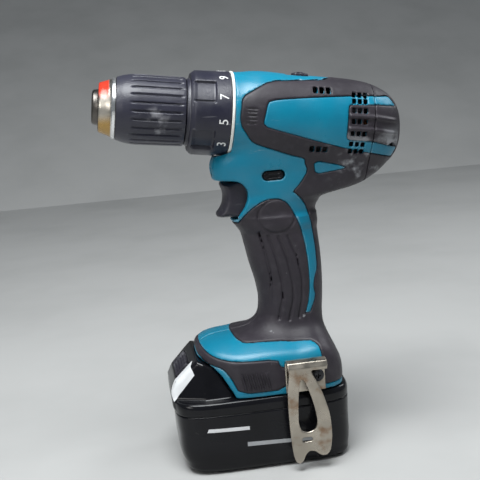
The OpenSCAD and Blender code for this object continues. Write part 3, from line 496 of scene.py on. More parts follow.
class Graph:
    """A material's node tree, with short calls for the nodes that the finishes share."""

    def __init__(self, name: str) -> None:
        """Start an empty material with a principled shader and the object's coordinates."""
        self.material = bpy.data.materials.new(name)
        self.material.use_nodes = True
        self.tree = self.material.node_tree
        self.tree.nodes.clear()
        self.out = self.tree.nodes.new("ShaderNodeOutputMaterial")
        self.shader = self.tree.nodes.new("ShaderNodeBsdfPrincipled")
        self.tree.links.new(self.shader.outputs[0], self.out.inputs[0])
        self.place = self.tree.nodes.new("ShaderNodeTexCoord").outputs["Object"]

    def join(self, a: Socket, b: Socket) -> None:
        """Link one socket to another."""
        self.tree.links.new(a, b)

    def noise(self, scale: float, detail: float = 4.0, stretch: Sequence[float] = (1, 1, 1)) -> Socket:
        """Return a noise pattern's value, stretched along the object's axes."""
        pull = self.tree.nodes.new("ShaderNodeMapping")
        pull.inputs["Scale"].default_value = stretch
        self.join(self.place, pull.inputs[0])
        node = self.tree.nodes.new("ShaderNodeTexNoise")
        node.inputs["Scale"].default_value = scale
        node.inputs["Detail"].default_value = detail
        self.join(pull.outputs[0], node.inputs["Vector"])
        return node.outputs["Fac"]

    def ramp(self, value: Socket, low: float, high: float, a: float = 0.0, b: float = 1.0) -> Socket:
        """Return a value spread from a to b while the input goes from low to high."""
        node = self.tree.nodes.new("ShaderNodeMapRange")
        node.interpolation_type = "SMOOTHSTEP"
        for key, v in (("From Min", low), ("From Max", high), ("To Min", a), ("To Max", b)):
            node.inputs[key].default_value = v
        self.join(value, node.inputs["Value"])
        return node.outputs[0]

    def cloud(self, scale: float, detail: float, low: float, high: float, a: float = 0.0,
              b: float = 1.0) -> Socket:
        """Return a noise pattern spread from a to b while it goes from low to high."""
        return self.ramp(self.noise(scale, detail), low, high, a, b)

    def times(self, first: Socket, *others: Socket | float) -> Socket:
        """Return the product of the inputs, held between 0 and 1."""
        for other in others:
            node = self.tree.nodes.new("ShaderNodeMath")
            node.operation = "MULTIPLY"
            node.use_clamp = True
            self.join(first, node.inputs[0])
            if isinstance(other, float):
                node.inputs[1].default_value = other
            else:
                self.join(other, node.inputs[1])
            first = node.outputs[0]
        return first

    def minus(self, a: Socket, b: Socket) -> Socket:
        """Return the first input less the second."""
        node = self.tree.nodes.new("ShaderNodeMath")
        node.operation = "SUBTRACT"
        self.join(a, node.inputs[0])
        self.join(b, node.inputs[1])
        return node.outputs[0]

    def blend(self, share: Socket, a: Colour | Socket, b: Colour | Socket) -> Socket:
        """Return a colour between a and b by a share."""
        node = self.tree.nodes.new("ShaderNodeMix")
        node.data_type = "RGBA"
        self.join(share, node.inputs[0])
        for slot, colour in ((6, a), (7, b)):
            if isinstance(colour, tuple):
                node.inputs[slot].default_value = (*colour, 1.0)
            else:
                self.join(colour, node.inputs[slot])
        return node.outputs[2]

    def along(self, low: float, high: float) -> Socket:
        """Return 0 to 1 as the place along the chuck axis goes from low to high in millimetres."""
        node = self.tree.nodes.new("ShaderNodeVectorMath")
        node.operation = "DOT_PRODUCT"
        node.inputs[1].default_value = (math.cos(TILT) / MM, 0.0, -math.sin(TILT) / MM)
        self.join(self.place, node.inputs[0])
        base = HEAD_X * math.cos(TILT) - HEAD_Z * math.sin(TILT)
        return self.ramp(node.outputs["Value"], low + base, high + base)

    def span(self, axis: str, low: float, high: float) -> Socket:
        """Return 0 to 1 as the place on axis X, Y or Z goes from low to high in millimetres."""
        node = self.tree.nodes.new("ShaderNodeSeparateXYZ")
        self.join(self.place, node.inputs[0])
        return self.ramp(node.outputs[axis], low * MM, high * MM)

    def edges(self, low: float = 0.52, high: float = 0.6) -> Socket:
        """Return 1 on the outward edges of the piece and 0 on its flats."""
        node = self.tree.nodes.new("ShaderNodeNewGeometry")
        return self.ramp(node.outputs["Pointiness"], low, high)

    def bump(self, height: Socket, strength: float, distance: float) -> None:
        """Raise the surface by a pattern, on top of any earlier bump."""
        node = self.tree.nodes.new("ShaderNodeBump")
        node.inputs["Strength"].default_value = strength
        node.inputs["Distance"].default_value = distance
        self.join(height, node.inputs["Height"])
        normal = self.shader.inputs["Normal"]
        if normal.is_linked:
            self.join(normal.links[0].from_socket, node.inputs["Normal"])
        self.join(node.outputs[0], normal)

    def paint(self, colour: Socket, rough: Socket | None = None) -> bpy.types.Material:
        """Send a colour and a roughness to the shader and return the material."""
        self.join(colour, self.shader.inputs["Base Color"])
        if rough is not None:
            self.join(rough, self.shader.inputs["Roughness"])
        return self.material

    def fixed(self, **values: float) -> None:
        """Set the shader's own sockets; an underscore stands for a space."""
        for key, v in values.items():
            self.shader.inputs[key.replace("_", " ")].default_value = v


@dataclass(frozen=True)
class Plastic:
    """Moulded plastic: spark-eroded grain, mottling, scratches, settled dust and pale worn edges."""

    name: str
    colour: Colour
    deep: Colour
    rough: float = 0.42
    grain: float = 0.35
    dust: Colour = (0.32, 0.30, 0.28)
    dusty: float = 0.25
    worn: Colour = (0.5, 0.5, 0.5)
    wear: float = 0.3
    shine: float = 0.5

    def material(self) -> bpy.types.Material:
        """Build the finish."""
        g = Graph(self.name)
        mottle = g.cloud(38.0, 6.0, 0.3, 0.7)
        base = g.blend(mottle, self.colour, self.deep)
        scratch = g.ramp(g.noise(420.0, 3.0, (0.12, 1.0, 1.0)), 0.66, 0.74)
        patch = g.cloud(24.0, 5.0, 0.48, 0.72)
        marks = g.times(scratch, patch, self.wear)
        base = g.blend(marks, base, self.worn)
        broad = g.cloud(15.0, 3.0, 0.42, 0.62)
        cloud = g.times(g.cloud(60.0, 8.0, 0.45, 0.8), broad)
        base = g.blend(g.times(cloud, self.dusty), base, self.dust)
        worn_edge = g.times(g.edges(), g.cloud(90.0, 4.0, 0.42, 0.62))
        rub = g.times(worn_edge, self.wear)
        base = g.blend(rub, base, self.worn)
        g.bump(g.noise(1500.0, 2.0), self.grain, 0.0003)
        g.bump(g.noise(160.0, 2.0), 0.08, 0.0006)
        g.fixed(Specular_IOR_Level=self.shine)
        return g.paint(base, g.cloud(75.0, 5.0, 0.3, 0.75, self.rough - 0.07, self.rough + 0.12))


@dataclass(frozen=True)
class Rubber:
    """Soft overmould: matt, finely pebbled, dusty, and scuffed pale where it rubs."""

    name: str
    colour: Colour = (0.028, 0.023, 0.03)
    deep: Colour = (0.019, 0.016, 0.021)
    dust: Colour = (0.12, 0.11, 0.125)
    scuff: Colour = (0.42, 0.43, 0.45)

    def material(self) -> bpy.types.Material:
        """Build the finish."""
        g = Graph(self.name)
        base = g.blend(g.cloud(30.0, 6.0, 0.3, 0.7), self.colour, self.deep)
        fine = g.cloud(220.0, 6.0, 0.45, 0.85)
        base = g.blend(g.times(fine, 0.15), base, self.dust)
        spots = g.cloud(70.0, 9.0, 0.5, 0.66)
        rear = g.span("X", 46.0, 64.0)
        low = g.minus(g.span("Z", 158.0, 166.0), g.span("Z", 188.0, 203.0))
        where = g.times(rear, low, spots)
        base = g.blend(g.times(where, 0.95), base, self.scuff)
        nicks = g.cloud(140.0, 5.0, 0.71, 0.78)
        base = g.blend(g.times(nicks, 0.5), base, self.scuff)
        g.bump(g.noise(1900.0, 2.0), 0.5, 0.0003)
        g.bump(g.noise(210.0, 4.0), 0.15, 0.0005)
        g.bump(where, 0.3, 0.0004)
        g.fixed(Specular_IOR_Level=0.36)
        return g.paint(base, g.cloud(50.0, 5.0, 0.3, 0.75, 0.42, 0.55))


@dataclass(frozen=True)
class Metal:
    """Turned, drawn or plated metal with tool marks, smudges and optional rust."""

    name: str
    colour: Colour
    rough: float = 0.28
    rust: float = 0.0
    lines: Sequence[float] = (1.0, 1.0, 1.0)
    line_depth: float = 0.15
    stain: Colour = (0.23, 0.13, 0.07)

    def material(self) -> bpy.types.Material:
        """Build the finish."""
        g = Graph(self.name)
        dull = tuple(c * 0.72 for c in self.colour)
        base = g.blend(g.cloud(45.0, 6.0, 0.3, 0.7), self.colour, dull)
        if self.rust > 0:
            spots = g.cloud(95.0, 8.0, 0.62 - 0.1 * self.rust, 0.72)
            base = g.blend(g.times(spots, 0.8), base, self.stain)
            g.bump(spots, 0.35, 0.0003)
        g.bump(g.noise(900.0, 3.0, self.lines), self.line_depth, 0.0002)
        g.fixed(Metallic=1.0)
        return g.paint(base, g.cloud(120.0, 6.0, 0.3, 0.75, self.rough - 0.06, self.rough + 0.16))


@dataclass(frozen=True)
class PaintedNose:
    """Turned chuck nose: a bright rim, worn red paint over bare steel, painted shade at the mouth and a
    painted warm reflection along its lower side.
    """

    name: str
    steel: Colour = (0.5, 0.47, 0.42)
    paint: Colour = (0.55, 0.035, 0.012)

    def material(self) -> bpy.types.Material:
        """Build the finish."""
        g = Graph(self.name)
        metal = g.blend(g.cloud(50.0, 5.0, 0.3, 0.7), self.steel, (0.46, 0.42, 0.36))
        # painted reflection: below this height the nose turns warm gold, standing in for warm surroundings
        # reflected in the steel
        metal = g.blend(g.span("Z", 216.0, 223.5), (0.42, 0.27, 0.1), metal)
        # painted shade: the front face round the mouth is darkened to stand for the shade inside the bore
        metal = g.blend(g.along(-79.0, -78.6), (0.12, 0.11, 0.1), metal)
        metal = g.blend(g.along(-72.0, -71.2), metal, (0.8, 0.8, 0.8))
        band = g.minus(g.along(-79.4, -78.8), g.along(-73.6, -72.4))
        worn = g.ramp(g.noise(75.0, 8.0, (0.4, 1.0, 1.0)), 0.3, 0.44)
        coat = g.times(band, worn, g.span("Z", 230.0, 236.0))
        base = g.blend(coat, metal, self.paint)
        g.join(g.ramp(coat, 0.3, 0.8, 1.0, 0.15), g.shader.inputs["Metallic"])
        g.bump(g.noise(1100.0, 3.0, (3.0, 0.15, 0.15)), 0.25, 0.0002)
        g.bump(coat, 0.3, 0.0002)
        return g.paint(base, g.cloud(140.0, 5.0, 0.3, 0.7, 0.22, 0.4))


@dataclass(frozen=True)
class DustySleeve:
    """Chuck sleeve plastic with pale dust caught between the flutes and scraped patches."""

    name: str
    colour: Colour = (0.016, 0.016, 0.028)
    dust: Colour = (0.3, 0.3, 0.32)

    def material(self) -> bpy.types.Material:
        """Build the finish."""
        g = Graph(self.name)
        base = g.blend(g.cloud(40.0, 5.0, 0.3, 0.7), self.colour, (0.026, 0.026, 0.042))
        spots = g.cloud(130.0, 9.0, 0.52, 0.68)
        band = g.minus(g.along(-62.0, -56.0), g.along(-42.0, -36.0))
        low = g.minus(g.span("Z", 202.0, 209.0), g.span("Z", 219.0, 226.0))
        where = g.times(band, low, spots)
        base = g.blend(g.times(where, 0.7), base, self.dust)
        fine = g.ramp(g.noise(300.0, 6.0, (0.3, 1.0, 1.0)), 0.58, 0.8)
        base = g.blend(g.times(fine, 0.14), base, self.dust)
        g.bump(g.noise(1400.0, 2.0), 0.3, 0.0003)
        g.bump(where, 0.3, 0.0003)
        g.fixed(Specular_IOR_Level=0.5)
        return g.paint(base, g.ramp(where, 0.0, 0.6, 0.38, 0.8))


@dataclass(frozen=True)
class Gloss:
    """Polished battery plastic with fine swirls, fingerprints and a little dust."""

    name: str
    colour: Colour = (0.003, 0.003, 0.004)

    def material(self) -> bpy.types.Material:
        """Build the finish."""
        g = Graph(self.name)
        base = g.blend(g.cloud(35.0, 5.0, 0.3, 0.7), self.colour, (0.006, 0.006, 0.008))
        specks = g.cloud(330.0, 4.0, 0.72, 0.8)
        base = g.blend(g.times(specks, 0.35), base, (0.3, 0.28, 0.26))
        prints = g.cloud(28.0, 6.0, 0.45, 0.7, 0.16, 0.34)
        g.bump(g.noise(90.0, 2.0), 0.05, 0.0004)
        g.bump(g.noise(1200.0, 2.0), 0.04, 0.0002)
        g.fixed(Specular_IOR_Level=0.22, Coat_Weight=0.06, Coat_Roughness=0.08)
        return g.paint(base, prints)


@dataclass(frozen=True)
class Plain:
    """A small finish for print, lamps, wires and the floor: mottled colour with a light bump."""

    name: str
    colour: Colour
    rough: float = 0.5
    clear: float = 0.0
    scale: float = 80.0

    def material(self) -> bpy.types.Material:
        """Build the finish."""
        g = Graph(self.name)
        dim = tuple(c * 0.88 for c in self.colour)
        base = g.blend(g.ramp(g.noise(self.scale, 4.0), 0.35, 0.75), self.colour, dim)
        g.bump(g.noise(self.scale * 12, 2.0), 0.06, 0.0002)
        g.fixed(Transmission_Weight=self.clear)
        return g.paint(base, g.ramp(g.noise(self.scale, 3.0), 0.3, 0.7, self.rough - 0.05, self.rough + 0.08))


@dataclass(frozen=True)
class Copper:
    """Lacquered copper windings, wound as fine ridges."""

    name: str
    colour: Colour = (0.66, 0.27, 0.1)

    def material(self) -> bpy.types.Material:
        """Build the finish."""
        g = Graph(self.name)
        lines = g.noise(900.0, 1.0, (0.08, 1.0, 1.0))
        base = g.blend(g.ramp(lines, 0.35, 0.65), self.colour, (0.32, 0.1, 0.04))
        g.bump(lines, 0.7, 0.0005)
        g.fixed(Metallic=0.9, Coat_Weight=0.5)
        return g.paint(base, g.cloud(100.0, 3.0, 0.3, 0.7, 0.25, 0.42))


class Finishes:
    """Every finish of the drill, built once."""

    def __init__(self) -> None:
        """Build the finishes."""
        teal = Plastic("teal_plastic", (0.0, 0.19, 0.3), (0.0, 0.16, 0.26), 0.34, 0.3,
                       (0.2, 0.24, 0.25), 0.1, (0.55, 0.62, 0.62), 0.35, 0.42)
        self.teal = teal.material()
        self.rubber = Rubber("grip_rubber").material()
        self.control = Plastic("control_plastic", (0.02, 0.018, 0.028), (0.014, 0.012, 0.02), 0.42, 0.4,
                               (0.2, 0.2, 0.2), 0.2, (0.3, 0.3, 0.32), 0.4).material()
        self.collar = Plastic("collar_plastic", (0.016, 0.016, 0.03), (0.011, 0.011, 0.022), 0.36, 0.4,
                              (0.3, 0.3, 0.3), 0.16, (0.4, 0.4, 0.42), 0.5).material()
        self.sleeve = DustySleeve("sleeve_plastic").material()
        self.nose = PaintedNose("chuck_steel").material()
        self.white = Plastic("white_plastic", (0.78, 0.78, 0.74), (0.7, 0.69, 0.64), 0.45, 0.2,
                             (0.3, 0.27, 0.22), 0.3, (0.4, 0.38, 0.34), 0.3).material()
        self.print = Plain("white_print", (0.8, 0.8, 0.79), 0.5).material()
        self.grey_print = Plain("grey_print", (0.34, 0.35, 0.36), 0.35).material()
        self.label = Plain("silver_label", (0.7, 0.71, 0.72), 0.3).material()
        self.gloss = Gloss("battery_plastic").material()
        self.hook = Metal("hook_steel", (0.5, 0.45, 0.38), 0.3, 1.0, (0.2, 1.0, 1.0), 0.2).material()
        self.steel = Metal("jaw_steel", (0.4, 0.38, 0.35), 0.34, 0.5, (1.0, 1.0, 0.2), 0.3).material()
        self.gear = Metal("gear_steel", (0.5, 0.5, 0.5), 0.32).material()
        self.bright = Metal("screw_steel", (0.5, 0.49, 0.46), 0.3, 0.3).material()
        self.dark_screw = Metal("black_screw", (0.06, 0.06, 0.065), 0.35, 0.4).material()
        self.dark_steel = Metal("dark_steel", (0.05, 0.05, 0.055), 0.5, 0.2).material()
        self.brass = Metal("brass", (0.78, 0.56, 0.24), 0.28).material()
        self.cast = Metal("cast_case", (0.1, 0.1, 0.11), 0.5).material()
        self.copper = Copper("copper").material()
        self.lamp = Plain("lamp_lens", (0.85, 0.9, 0.95), 0.12, 0.7).material()
        self.magnet = Plastic("magnet", (0.05, 0.05, 0.055), (0.03, 0.03, 0.035), 0.6).material()
        self.wrap = Plastic("cell_wrap", (0.03, 0.2, 0.1), (0.02, 0.15, 0.08), 0.3).material()
        self.wire = Plastic("wire", (0.4, 0.03, 0.03), (0.3, 0.02, 0.02), 0.4).material()
        self.floor = Plain("floor", (0.44, 0.44, 0.43), 0.6, 0.0, 6.0).material()


def dress(material: bpy.types.Material, *nodes: str) -> None:
    """Give every slot of some CAD nodes a finish."""
    for node in nodes:
        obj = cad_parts[node]
        if not obj.material_slots:
            obj.data.materials.append(material)
        for slot in obj.material_slots:
            slot.material = material
        log.info("%s dressed", node)


def seat(obj: bpy.types.Object, body: str, slot: str, *nodes: str) -> None:
    """Let a piece ride on a body and stand for CAD nodes.

    Args:
        obj: The finished piece.
        body: The CAD body it moves with.
        slot: Not used.
        nodes: CAD nodes it stands for.
    """
    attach(obj, body)
    if nodes:
        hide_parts(*nodes)
    log.info("%s rides on %s: %d faces", obj.name, body, len(obj.data.polygons))


# ---- geometry node helpers ---------------------------------------------------------------


def repeat_tree(name: str) -> bpy.types.NodeTree:
    """Build a tree that stands copies of an object on the object's own points.

    Returns:
        A tree with inputs Piece, Size and Finish, ending in Realize Instances and Set Material.
    """
    tree = bpy.data.node_groups.new(name, "GeometryNodeTree")
    face = tree.interface
    face.new_socket("Geometry", in_out="INPUT", socket_type="NodeSocketGeometry")
    face.new_socket("Piece", in_out="INPUT", socket_type="NodeSocketObject")
    size = face.new_socket("Size", in_out="INPUT", socket_type="NodeSocketFloat")
    size.default_value = 1.0
    face.new_socket("Finish", in_out="INPUT", socket_type="NodeSocketMaterial")
    face.new_socket("Geometry", in_out="OUTPUT", socket_type="NodeSocketGeometry")
    new = tree.nodes.new
    start, end = new("NodeGroupInput"), new("NodeGroupOutput")
    piece = new("GeometryNodeObjectInfo")
    turn = new("GeometryNodeInputNamedAttribute")
    turn.data_type = "FLOAT_VECTOR"
    turn.inputs["Name"].default_value = "turn"
    spread = new("GeometryNodeInstanceOnPoints")
    real = new("GeometryNodeRealizeInstances")
    paint = new("GeometryNodeSetMaterial")
    smooth = new("GeometryNodeSetShadeSmooth")
    link = tree.links.new
    link(start.outputs["Geometry"], spread.inputs["Points"])
    link(start.outputs["Piece"], piece.inputs["Object"])
    link(piece.outputs["Geometry"], spread.inputs["Instance"])
    link(turn.outputs["Attribute"], spread.inputs["Rotation"])
    link(start.outputs["Size"], spread.inputs["Scale"])
    link(spread.outputs["Instances"], real.inputs["Geometry"])
    link(real.outputs["Geometry"], smooth.inputs["Geometry"])
    smooth.inputs["Shade Smooth"].default_value = False
    link(smooth.outputs["Geometry"], paint.inputs["Geometry"])
    link(start.outputs["Finish"], paint.inputs["Material"])
    link(paint.outputs["Geometry"], end.inputs["Geometry"])
    return tree


def repeated(
    name: str,
    pattern: bpy.types.Object,
    places: Array,
    turns: Sequence[Sequence[float]],
    material: bpy.types.Material,
    size: float = 1.0,
) -> bpy.types.Object:
    """Stand copies of a pattern at places, through geometry nodes, as one plain mesh.

    Args:
        name: The piece's name.
        pattern: The object to copy, built at the origin in metres; it is removed.
        places: Places in millimetres of the row frame.
        turns: XYZ rotation of each copy.
        material: The finish.
        size: Scale of every copy.

    Returns:
        The finished piece.
    """
    mesh = bpy.data.meshes.new(name)
    mesh.from_pydata((np.asarray(places, float) * MM).tolist(), [], [])
    spin = mesh.attributes.new("turn", "FLOAT_VECTOR", "POINT")
    spin.data.foreach_set("vector", np.asarray(turns, float).ravel())
    obj = stand(name, mesh)
    tree = repeat_tree(name + "_tree")
    mod = obj.modifiers.new("repeat", "NODES")
    mod.node_group = tree
    keys = {s.name: s.identifier for s in tree.interface.items_tree if s.in_out == "INPUT"}
    mod[keys["Piece"]] = pattern
    mod[keys["Size"]] = size
    mod[keys["Finish"]] = material
    bake(obj)
    bpy.data.objects.remove(pattern)
    obj.data.set_sharp_from_angle(angle=math.radians(35))
    obj.data.polygons.foreach_set("use_smooth", [True] * len(obj.data.polygons))
    return obj


def pattern_from(verts: Array, faces: Sequence[Sequence[int]]) -> bpy.types.Object:
    """Make a hidden pattern object from vertices in millimetres."""
    mesh = bpy.data.meshes.new("pattern")
    mesh.from_pydata((np.asarray(verts) * MM).tolist(), [], [list(f) for f in faces])
    return stand("pattern", mesh)


def domed_bar(length: float, width: float, height: float) -> bpy.types.Object:
    """Pattern of a rounded rib along Z that stands up along -Y from the origin."""
    rings = [(-0.5, 0.35), (-0.42, 0.9), (-0.3, 1.0), (0.3, 1.0), (0.42, 0.9), (0.5, 0.35)]
    arc = [(-0.5, 0.6), (-0.5, 0.0), (-0.36, -0.62), (-0.13, -0.95), (0.13, -0.95), (0.36, -0.62), (0.5, 0.0),
           (0.5, 0.6)]
    verts = [(u * width * k, v * height * k, w * length) for w, k in rings for u, v in arc]
    n = len(arc)
    faces: list[Sequence[int]] = [
        (i * n + k, i * n + (k + 1) % n, (i + 1) * n + (k + 1) % n, (i + 1) * n + k)
        for i in range(len(rings) - 1)
        for k in range(n)
    ]
    faces += [tuple(reversed(range(n))), tuple(range((len(rings) - 1) * n, len(rings) * n))]
    return pattern_from(np.array(verts), faces)


def screw_head(radius: float, height: float, depth: float, sides: int = 32) -> bpy.types.Object:
    """Pattern of a domed cross-recess screw head that faces +Z, with a short shank."""
    bm = bmesh.new()
    rings = [(radius * 0.45, -depth), (radius * 0.45, 0.0), (radius, 0.0), (radius, height * 0.45),
             (radius * 0.82, height * 0.85), (radius * 0.5, height)]
    rows = []
    for r, z in rings:
        angles = [2 * math.pi * k / sides for k in range(sides)]
        rows.append([bm.verts.new((r * math.cos(a), r * math.sin(a), z)) for a in angles])
    for low, high in zip(rows[:-1], rows[1:]):
        for k in range(sides):
            bm.faces.new((low[k], low[(k + 1) % sides], high[(k + 1) % sides], high[k]))
    bm.faces.new(list(reversed(rows[0])))
    arm, half = radius * 0.42, radius * 0.11
    cross = [(half, half), (half, arm), (-half, arm), (-half, half), (-arm, half), (-arm, -half),
             (-half, -half), (-half, -arm), (half, -arm), (half, -half), (arm, -half), (arm, half)]
    top = [bm.verts.new((x, y, height)) for x, y in cross]
    low = [bm.verts.new((x * 0.7, y * 0.7, height - radius * 0.35)) for x, y in cross]
    for k in range(12):
        bm.faces.new((top[(k + 1) % 12], top[k], low[k], low[(k + 1) % 12]))
    bm.faces.new(low)
    rim = rows[-1]
    ring_edges = [bm.edges.get((rim[k], rim[(k + 1) % sides])) for k in range(sides)]
    cross_edges = [bm.edges.get((top[k], top[(k + 1) % 12])) for k in range(12)]
    bmesh.ops.triangle_fill(bm, use_beauty=True, use_dissolve=False, edges=ring_edges + cross_edges)
    bmesh.ops.recalc_face_normals(bm, faces=bm.faces[:])
    for v in bm.verts:
        v.co *= MM
    mesh = bpy.data.meshes.new("screw_pattern")
    bm.to_mesh(mesh)
    bm.free()
    return stand("screw_pattern", mesh)


# ---- housing --------------------------------------------------------------------------


@dataclass
class HousingForm:
    """The outer form of head, handle and foot as one signed distance, with its openings."""

    wall: float = 2.4
    rubber_t: float = 1.2
    proud: float = 0.35
    head: Loft = Loft((
        (-1.0, -25.4, 25.4, 25.4, 2.0), (2.5, -25.7, 25.6, 25.6, 2.0), (12.0, -26.8, 26.8, 26.6, 2.1),
        (36.0, -26.5, 26.2, 27.0, 2.25), (62.0, -26.5, 25.6, 26.4, 2.25), (76.0, -26.0, 24.7, 25.4, 2.2),
        (84.0, -25.6, 23.4, 24.6, 2.15), (91.0, -24.8, 21.0, 21.8, 2.1), (97.0, -23.2, 17.8, 18.4, 2.05),
        (103.0, -19.5, 12.0, 13.0, 2.0), (108.0, -13.5, 5.0, 7.5, 2.0)))
    neck: Loft = Loft((
        (145.0, -4.0, 43.6, 17.2, 2.5), (152.0, -9.6, 43.6, 17.2, 2.5), (158.0, -12.0, 46.0, 17.2, 2.6),
        (162.0, -13.5, 51.0, 17.5, 2.7), (165.5, -14.6, 69.0, 17.8, 2.8), (171.0, -16.5, 82.0, 18.6, 2.9),
        (178.5, -18.6, 91.0, 19.6, 2.9), (186.0, -18.9, 95.6, 21.4, 2.8), (192.0, -16.0, 97.0, 22.4, 2.7),
        (200.0, -8.0, 95.0, 22.0, 2.5), (208.0, 4.0, 84.0, 18.0, 2.3)))
    grip: Loft = Loft((
        (74.0, -1.5, 42.4, 18.6, 2.6), (80.0, 0.0, 42.8, 17.6, 2.5), (87.0, 3.2, 44.0, 17.0, 2.4),
        (97.0, 5.1, 45.0, 17.0, 2.4), (108.0, 4.2, 45.6, 17.2, 2.4), (123.0, 0.8, 45.6, 17.4, 2.4),
        (138.0, -2.0, 44.6, 17.4, 2.4), (152.0, -5.0, 43.4, 17.2, 2.5)))
    foot_plan: tuple[Point, ...] = (
        (-38.6, 0.0), (-38.4, 12.0), (-35.0, 22.0), (-28.0, 29.5), (-18.0, 34.6), (-8.0, 36.3),
        (10.0, 36.5), (32.0, 36.5), (42.0, 35.0), (48.5, 30.0), (51.3, 20.0), (51.4, 0.0))
    notch: tuple[Point, ...] = (
        (-60.0, 176.4), (-6.0, 176.4), (-1.5, 173.6), (1.2, 169.5), (1.0, 164.0), (-1.2, 159.0),
        (-5.0, 154.0), (-9.4, 150.4), (-60.0, 150.4))
    under_foot: tuple[Point, ...] = (
        (-80.0, 42.5), (-80.0, 69.7), (-38.6, 69.7), (-27.6, 64.4), (-17.6, 46.5), (-17.6, 42.5))
    vents: tuple[tuple, ...] = (  # first, pitch, width, height, corner, rows
        (69.4, 3.6, 2.7, 2.9, 0.4, (-18.3, -14.1, -7.7, -0.6, 5.8, 11.1, 14.7)),
        (45.5, 4.0, 3.1, 3.4, 0.7, (16.0, -18.4)))

    def __post_init__(self) -> None:
        """Mirror the foot's plan and round the outlines."""
        near = np.array(self.foot_plan)
        far = near[1:-1][::-1] * (1, -1)
        self.plan = rounded(np.concatenate([near, far]), 2)
        self.notch_line = rounded(self.notch, 2)
        self.nose_gap = rounded(self.under_foot, 1)

    def foot(self, x: Array, y: Array, z: Array) -> Array:
        """Signed distance to the foot, open below."""
        side = outline_distance(x, y, self.plan) + 0.05 * np.maximum(z - 62.0, 0)
        stations = (-42, -38, -30, -15, 0, 20, 42, 50)
        crown = through(x, stations, (73.0, 74.6, 78.2, 80.4, 81.5, 81.0, 78.5, 70.0))
        drop = 11.5 * (np.abs(y) / 36.5) ** 2.4
        rear = through(x, (36, 44, 50, 53), (0.0, 4.0, 13.0, 22.0))
        top = (z - crown + drop + 0.35 * rear) * through(x, (34, 44), (0.9, 0.55))
        return soft_max(side, top, 4.0)

    def skin(self, x: Array, y: Array, z: Array) -> Array:
        """Signed distance to the outer form, rear cover included."""
        s, t = head_place(x, z)
        head = self.head.distance(s, t, y)
        head = soft_max(head, s - (TAIL_S - 1.2), 7.0)
        neck = self.neck.distance(z, x, y)
        neck = soft_max(soft_max(neck, 146.0 - z, 3.0), z - 207.0, 3.0)
        rear = np.hypot(s - 52.0, t + 6.0) - 54.3
        neck = soft_max(neck, np.where(s > 60, rear, -20.0), 4.0)
        grip = self.grip.distance(z, x, y)
        grip = np.maximum(np.maximum(grip, 76.0 - z), z - 150.0)
        foot = self.foot(x, y, z)
        d = soft_min(np.maximum(head, -s), neck, 5.0)
        d = soft_min(d, grip, 5.0)
        d = soft_min(d, foot, 9.0)
        ring = np.hypot(t, y) - 26.25
        d = np.maximum(d, -np.maximum(ring, s + 0.02))
        d = soft_max(d, -outline_distance(x, z, self.notch_line), 1.2)
        return soft_max(d, -outline_distance(x, z, self.nose_gap), 0.8)

    def mask(self, x: Array, y: Array, z: Array) -> Array:
        """Signed distance to the area that the rubber covers, negative inside."""
        s, t = head_place(x, z)
        hand = np.minimum(outline_distance(x, z, PALM), outline_distance(x, z, HANDLE_BACK))
        hand = np.maximum(hand, 80.5 - z)
        hand = np.minimum(outline_distance(s, t, RUBBER_RING), hand)
        hand = np.maximum(hand, -outline_distance(x, z, TEAL_WEDGE))
        hand = np.maximum(hand, -outline_distance(s, t, TEAL_PANEL))
        skirt = np.maximum(outline_distance(x, np.abs(y), SKIRT_PLAN), z - 90.0)
        skirt = np.maximum(skirt, 49.6 - z)
        inner = 8.0 - np.abs(y) - 4.0 * np.maximum(-30.0 - x, 0)
        panel = np.maximum(outline_distance(x, z, SIDE_PANEL), inner)
        return np.minimum(hand, np.minimum(skirt, panel))

    def texture(self, x: Array, y: Array, z: Array) -> Array:
        """Raised and sunk detail of the rubber, in millimetres."""
        s, t = head_place(x, z)
        rise = np.zeros(np.broadcast(x, y, z).shape)
        block = step_up(s, 66.8, 68.4) * step_up(-np.abs(t), -11.0, -9.6)
        block = block * (1 - step_up(s, 97.0, 102.0))
        for middle in (4.0, -3.6):
            rise = rise + 1.3 * ridge(t, middle - 0.11 * np.maximum(s - 84, 0), 1.1, 1.2) * block
        lines = sum(ridge(t, m, 0.4, 0.5) for m in (-3.4, -1.2, 1.0, 3.2, 5.0))
        rise = rise - 0.6 * lines * ridge(s, 9.6, 3.0, 1.5)
        for line in GRIP_LINES:
            groove = 1 - step_up(line_distance(x, z, line), 0.35, 1.1)
            rise = rise - 0.8 * groove * step_up(np.abs(y), 11.5, 14.5)
        pad = np.hypot((x - 17.2) / 11.2, (z - 152.6) / 10.2)
        crown = 0.55 * ridge(pad, 1.0, 0.06, 0.08) - 0.25 * (1 - step_up(pad, 0.5, 0.95))
        return rise - crown * step_up(np.abs(y), 9.0, 12.0)

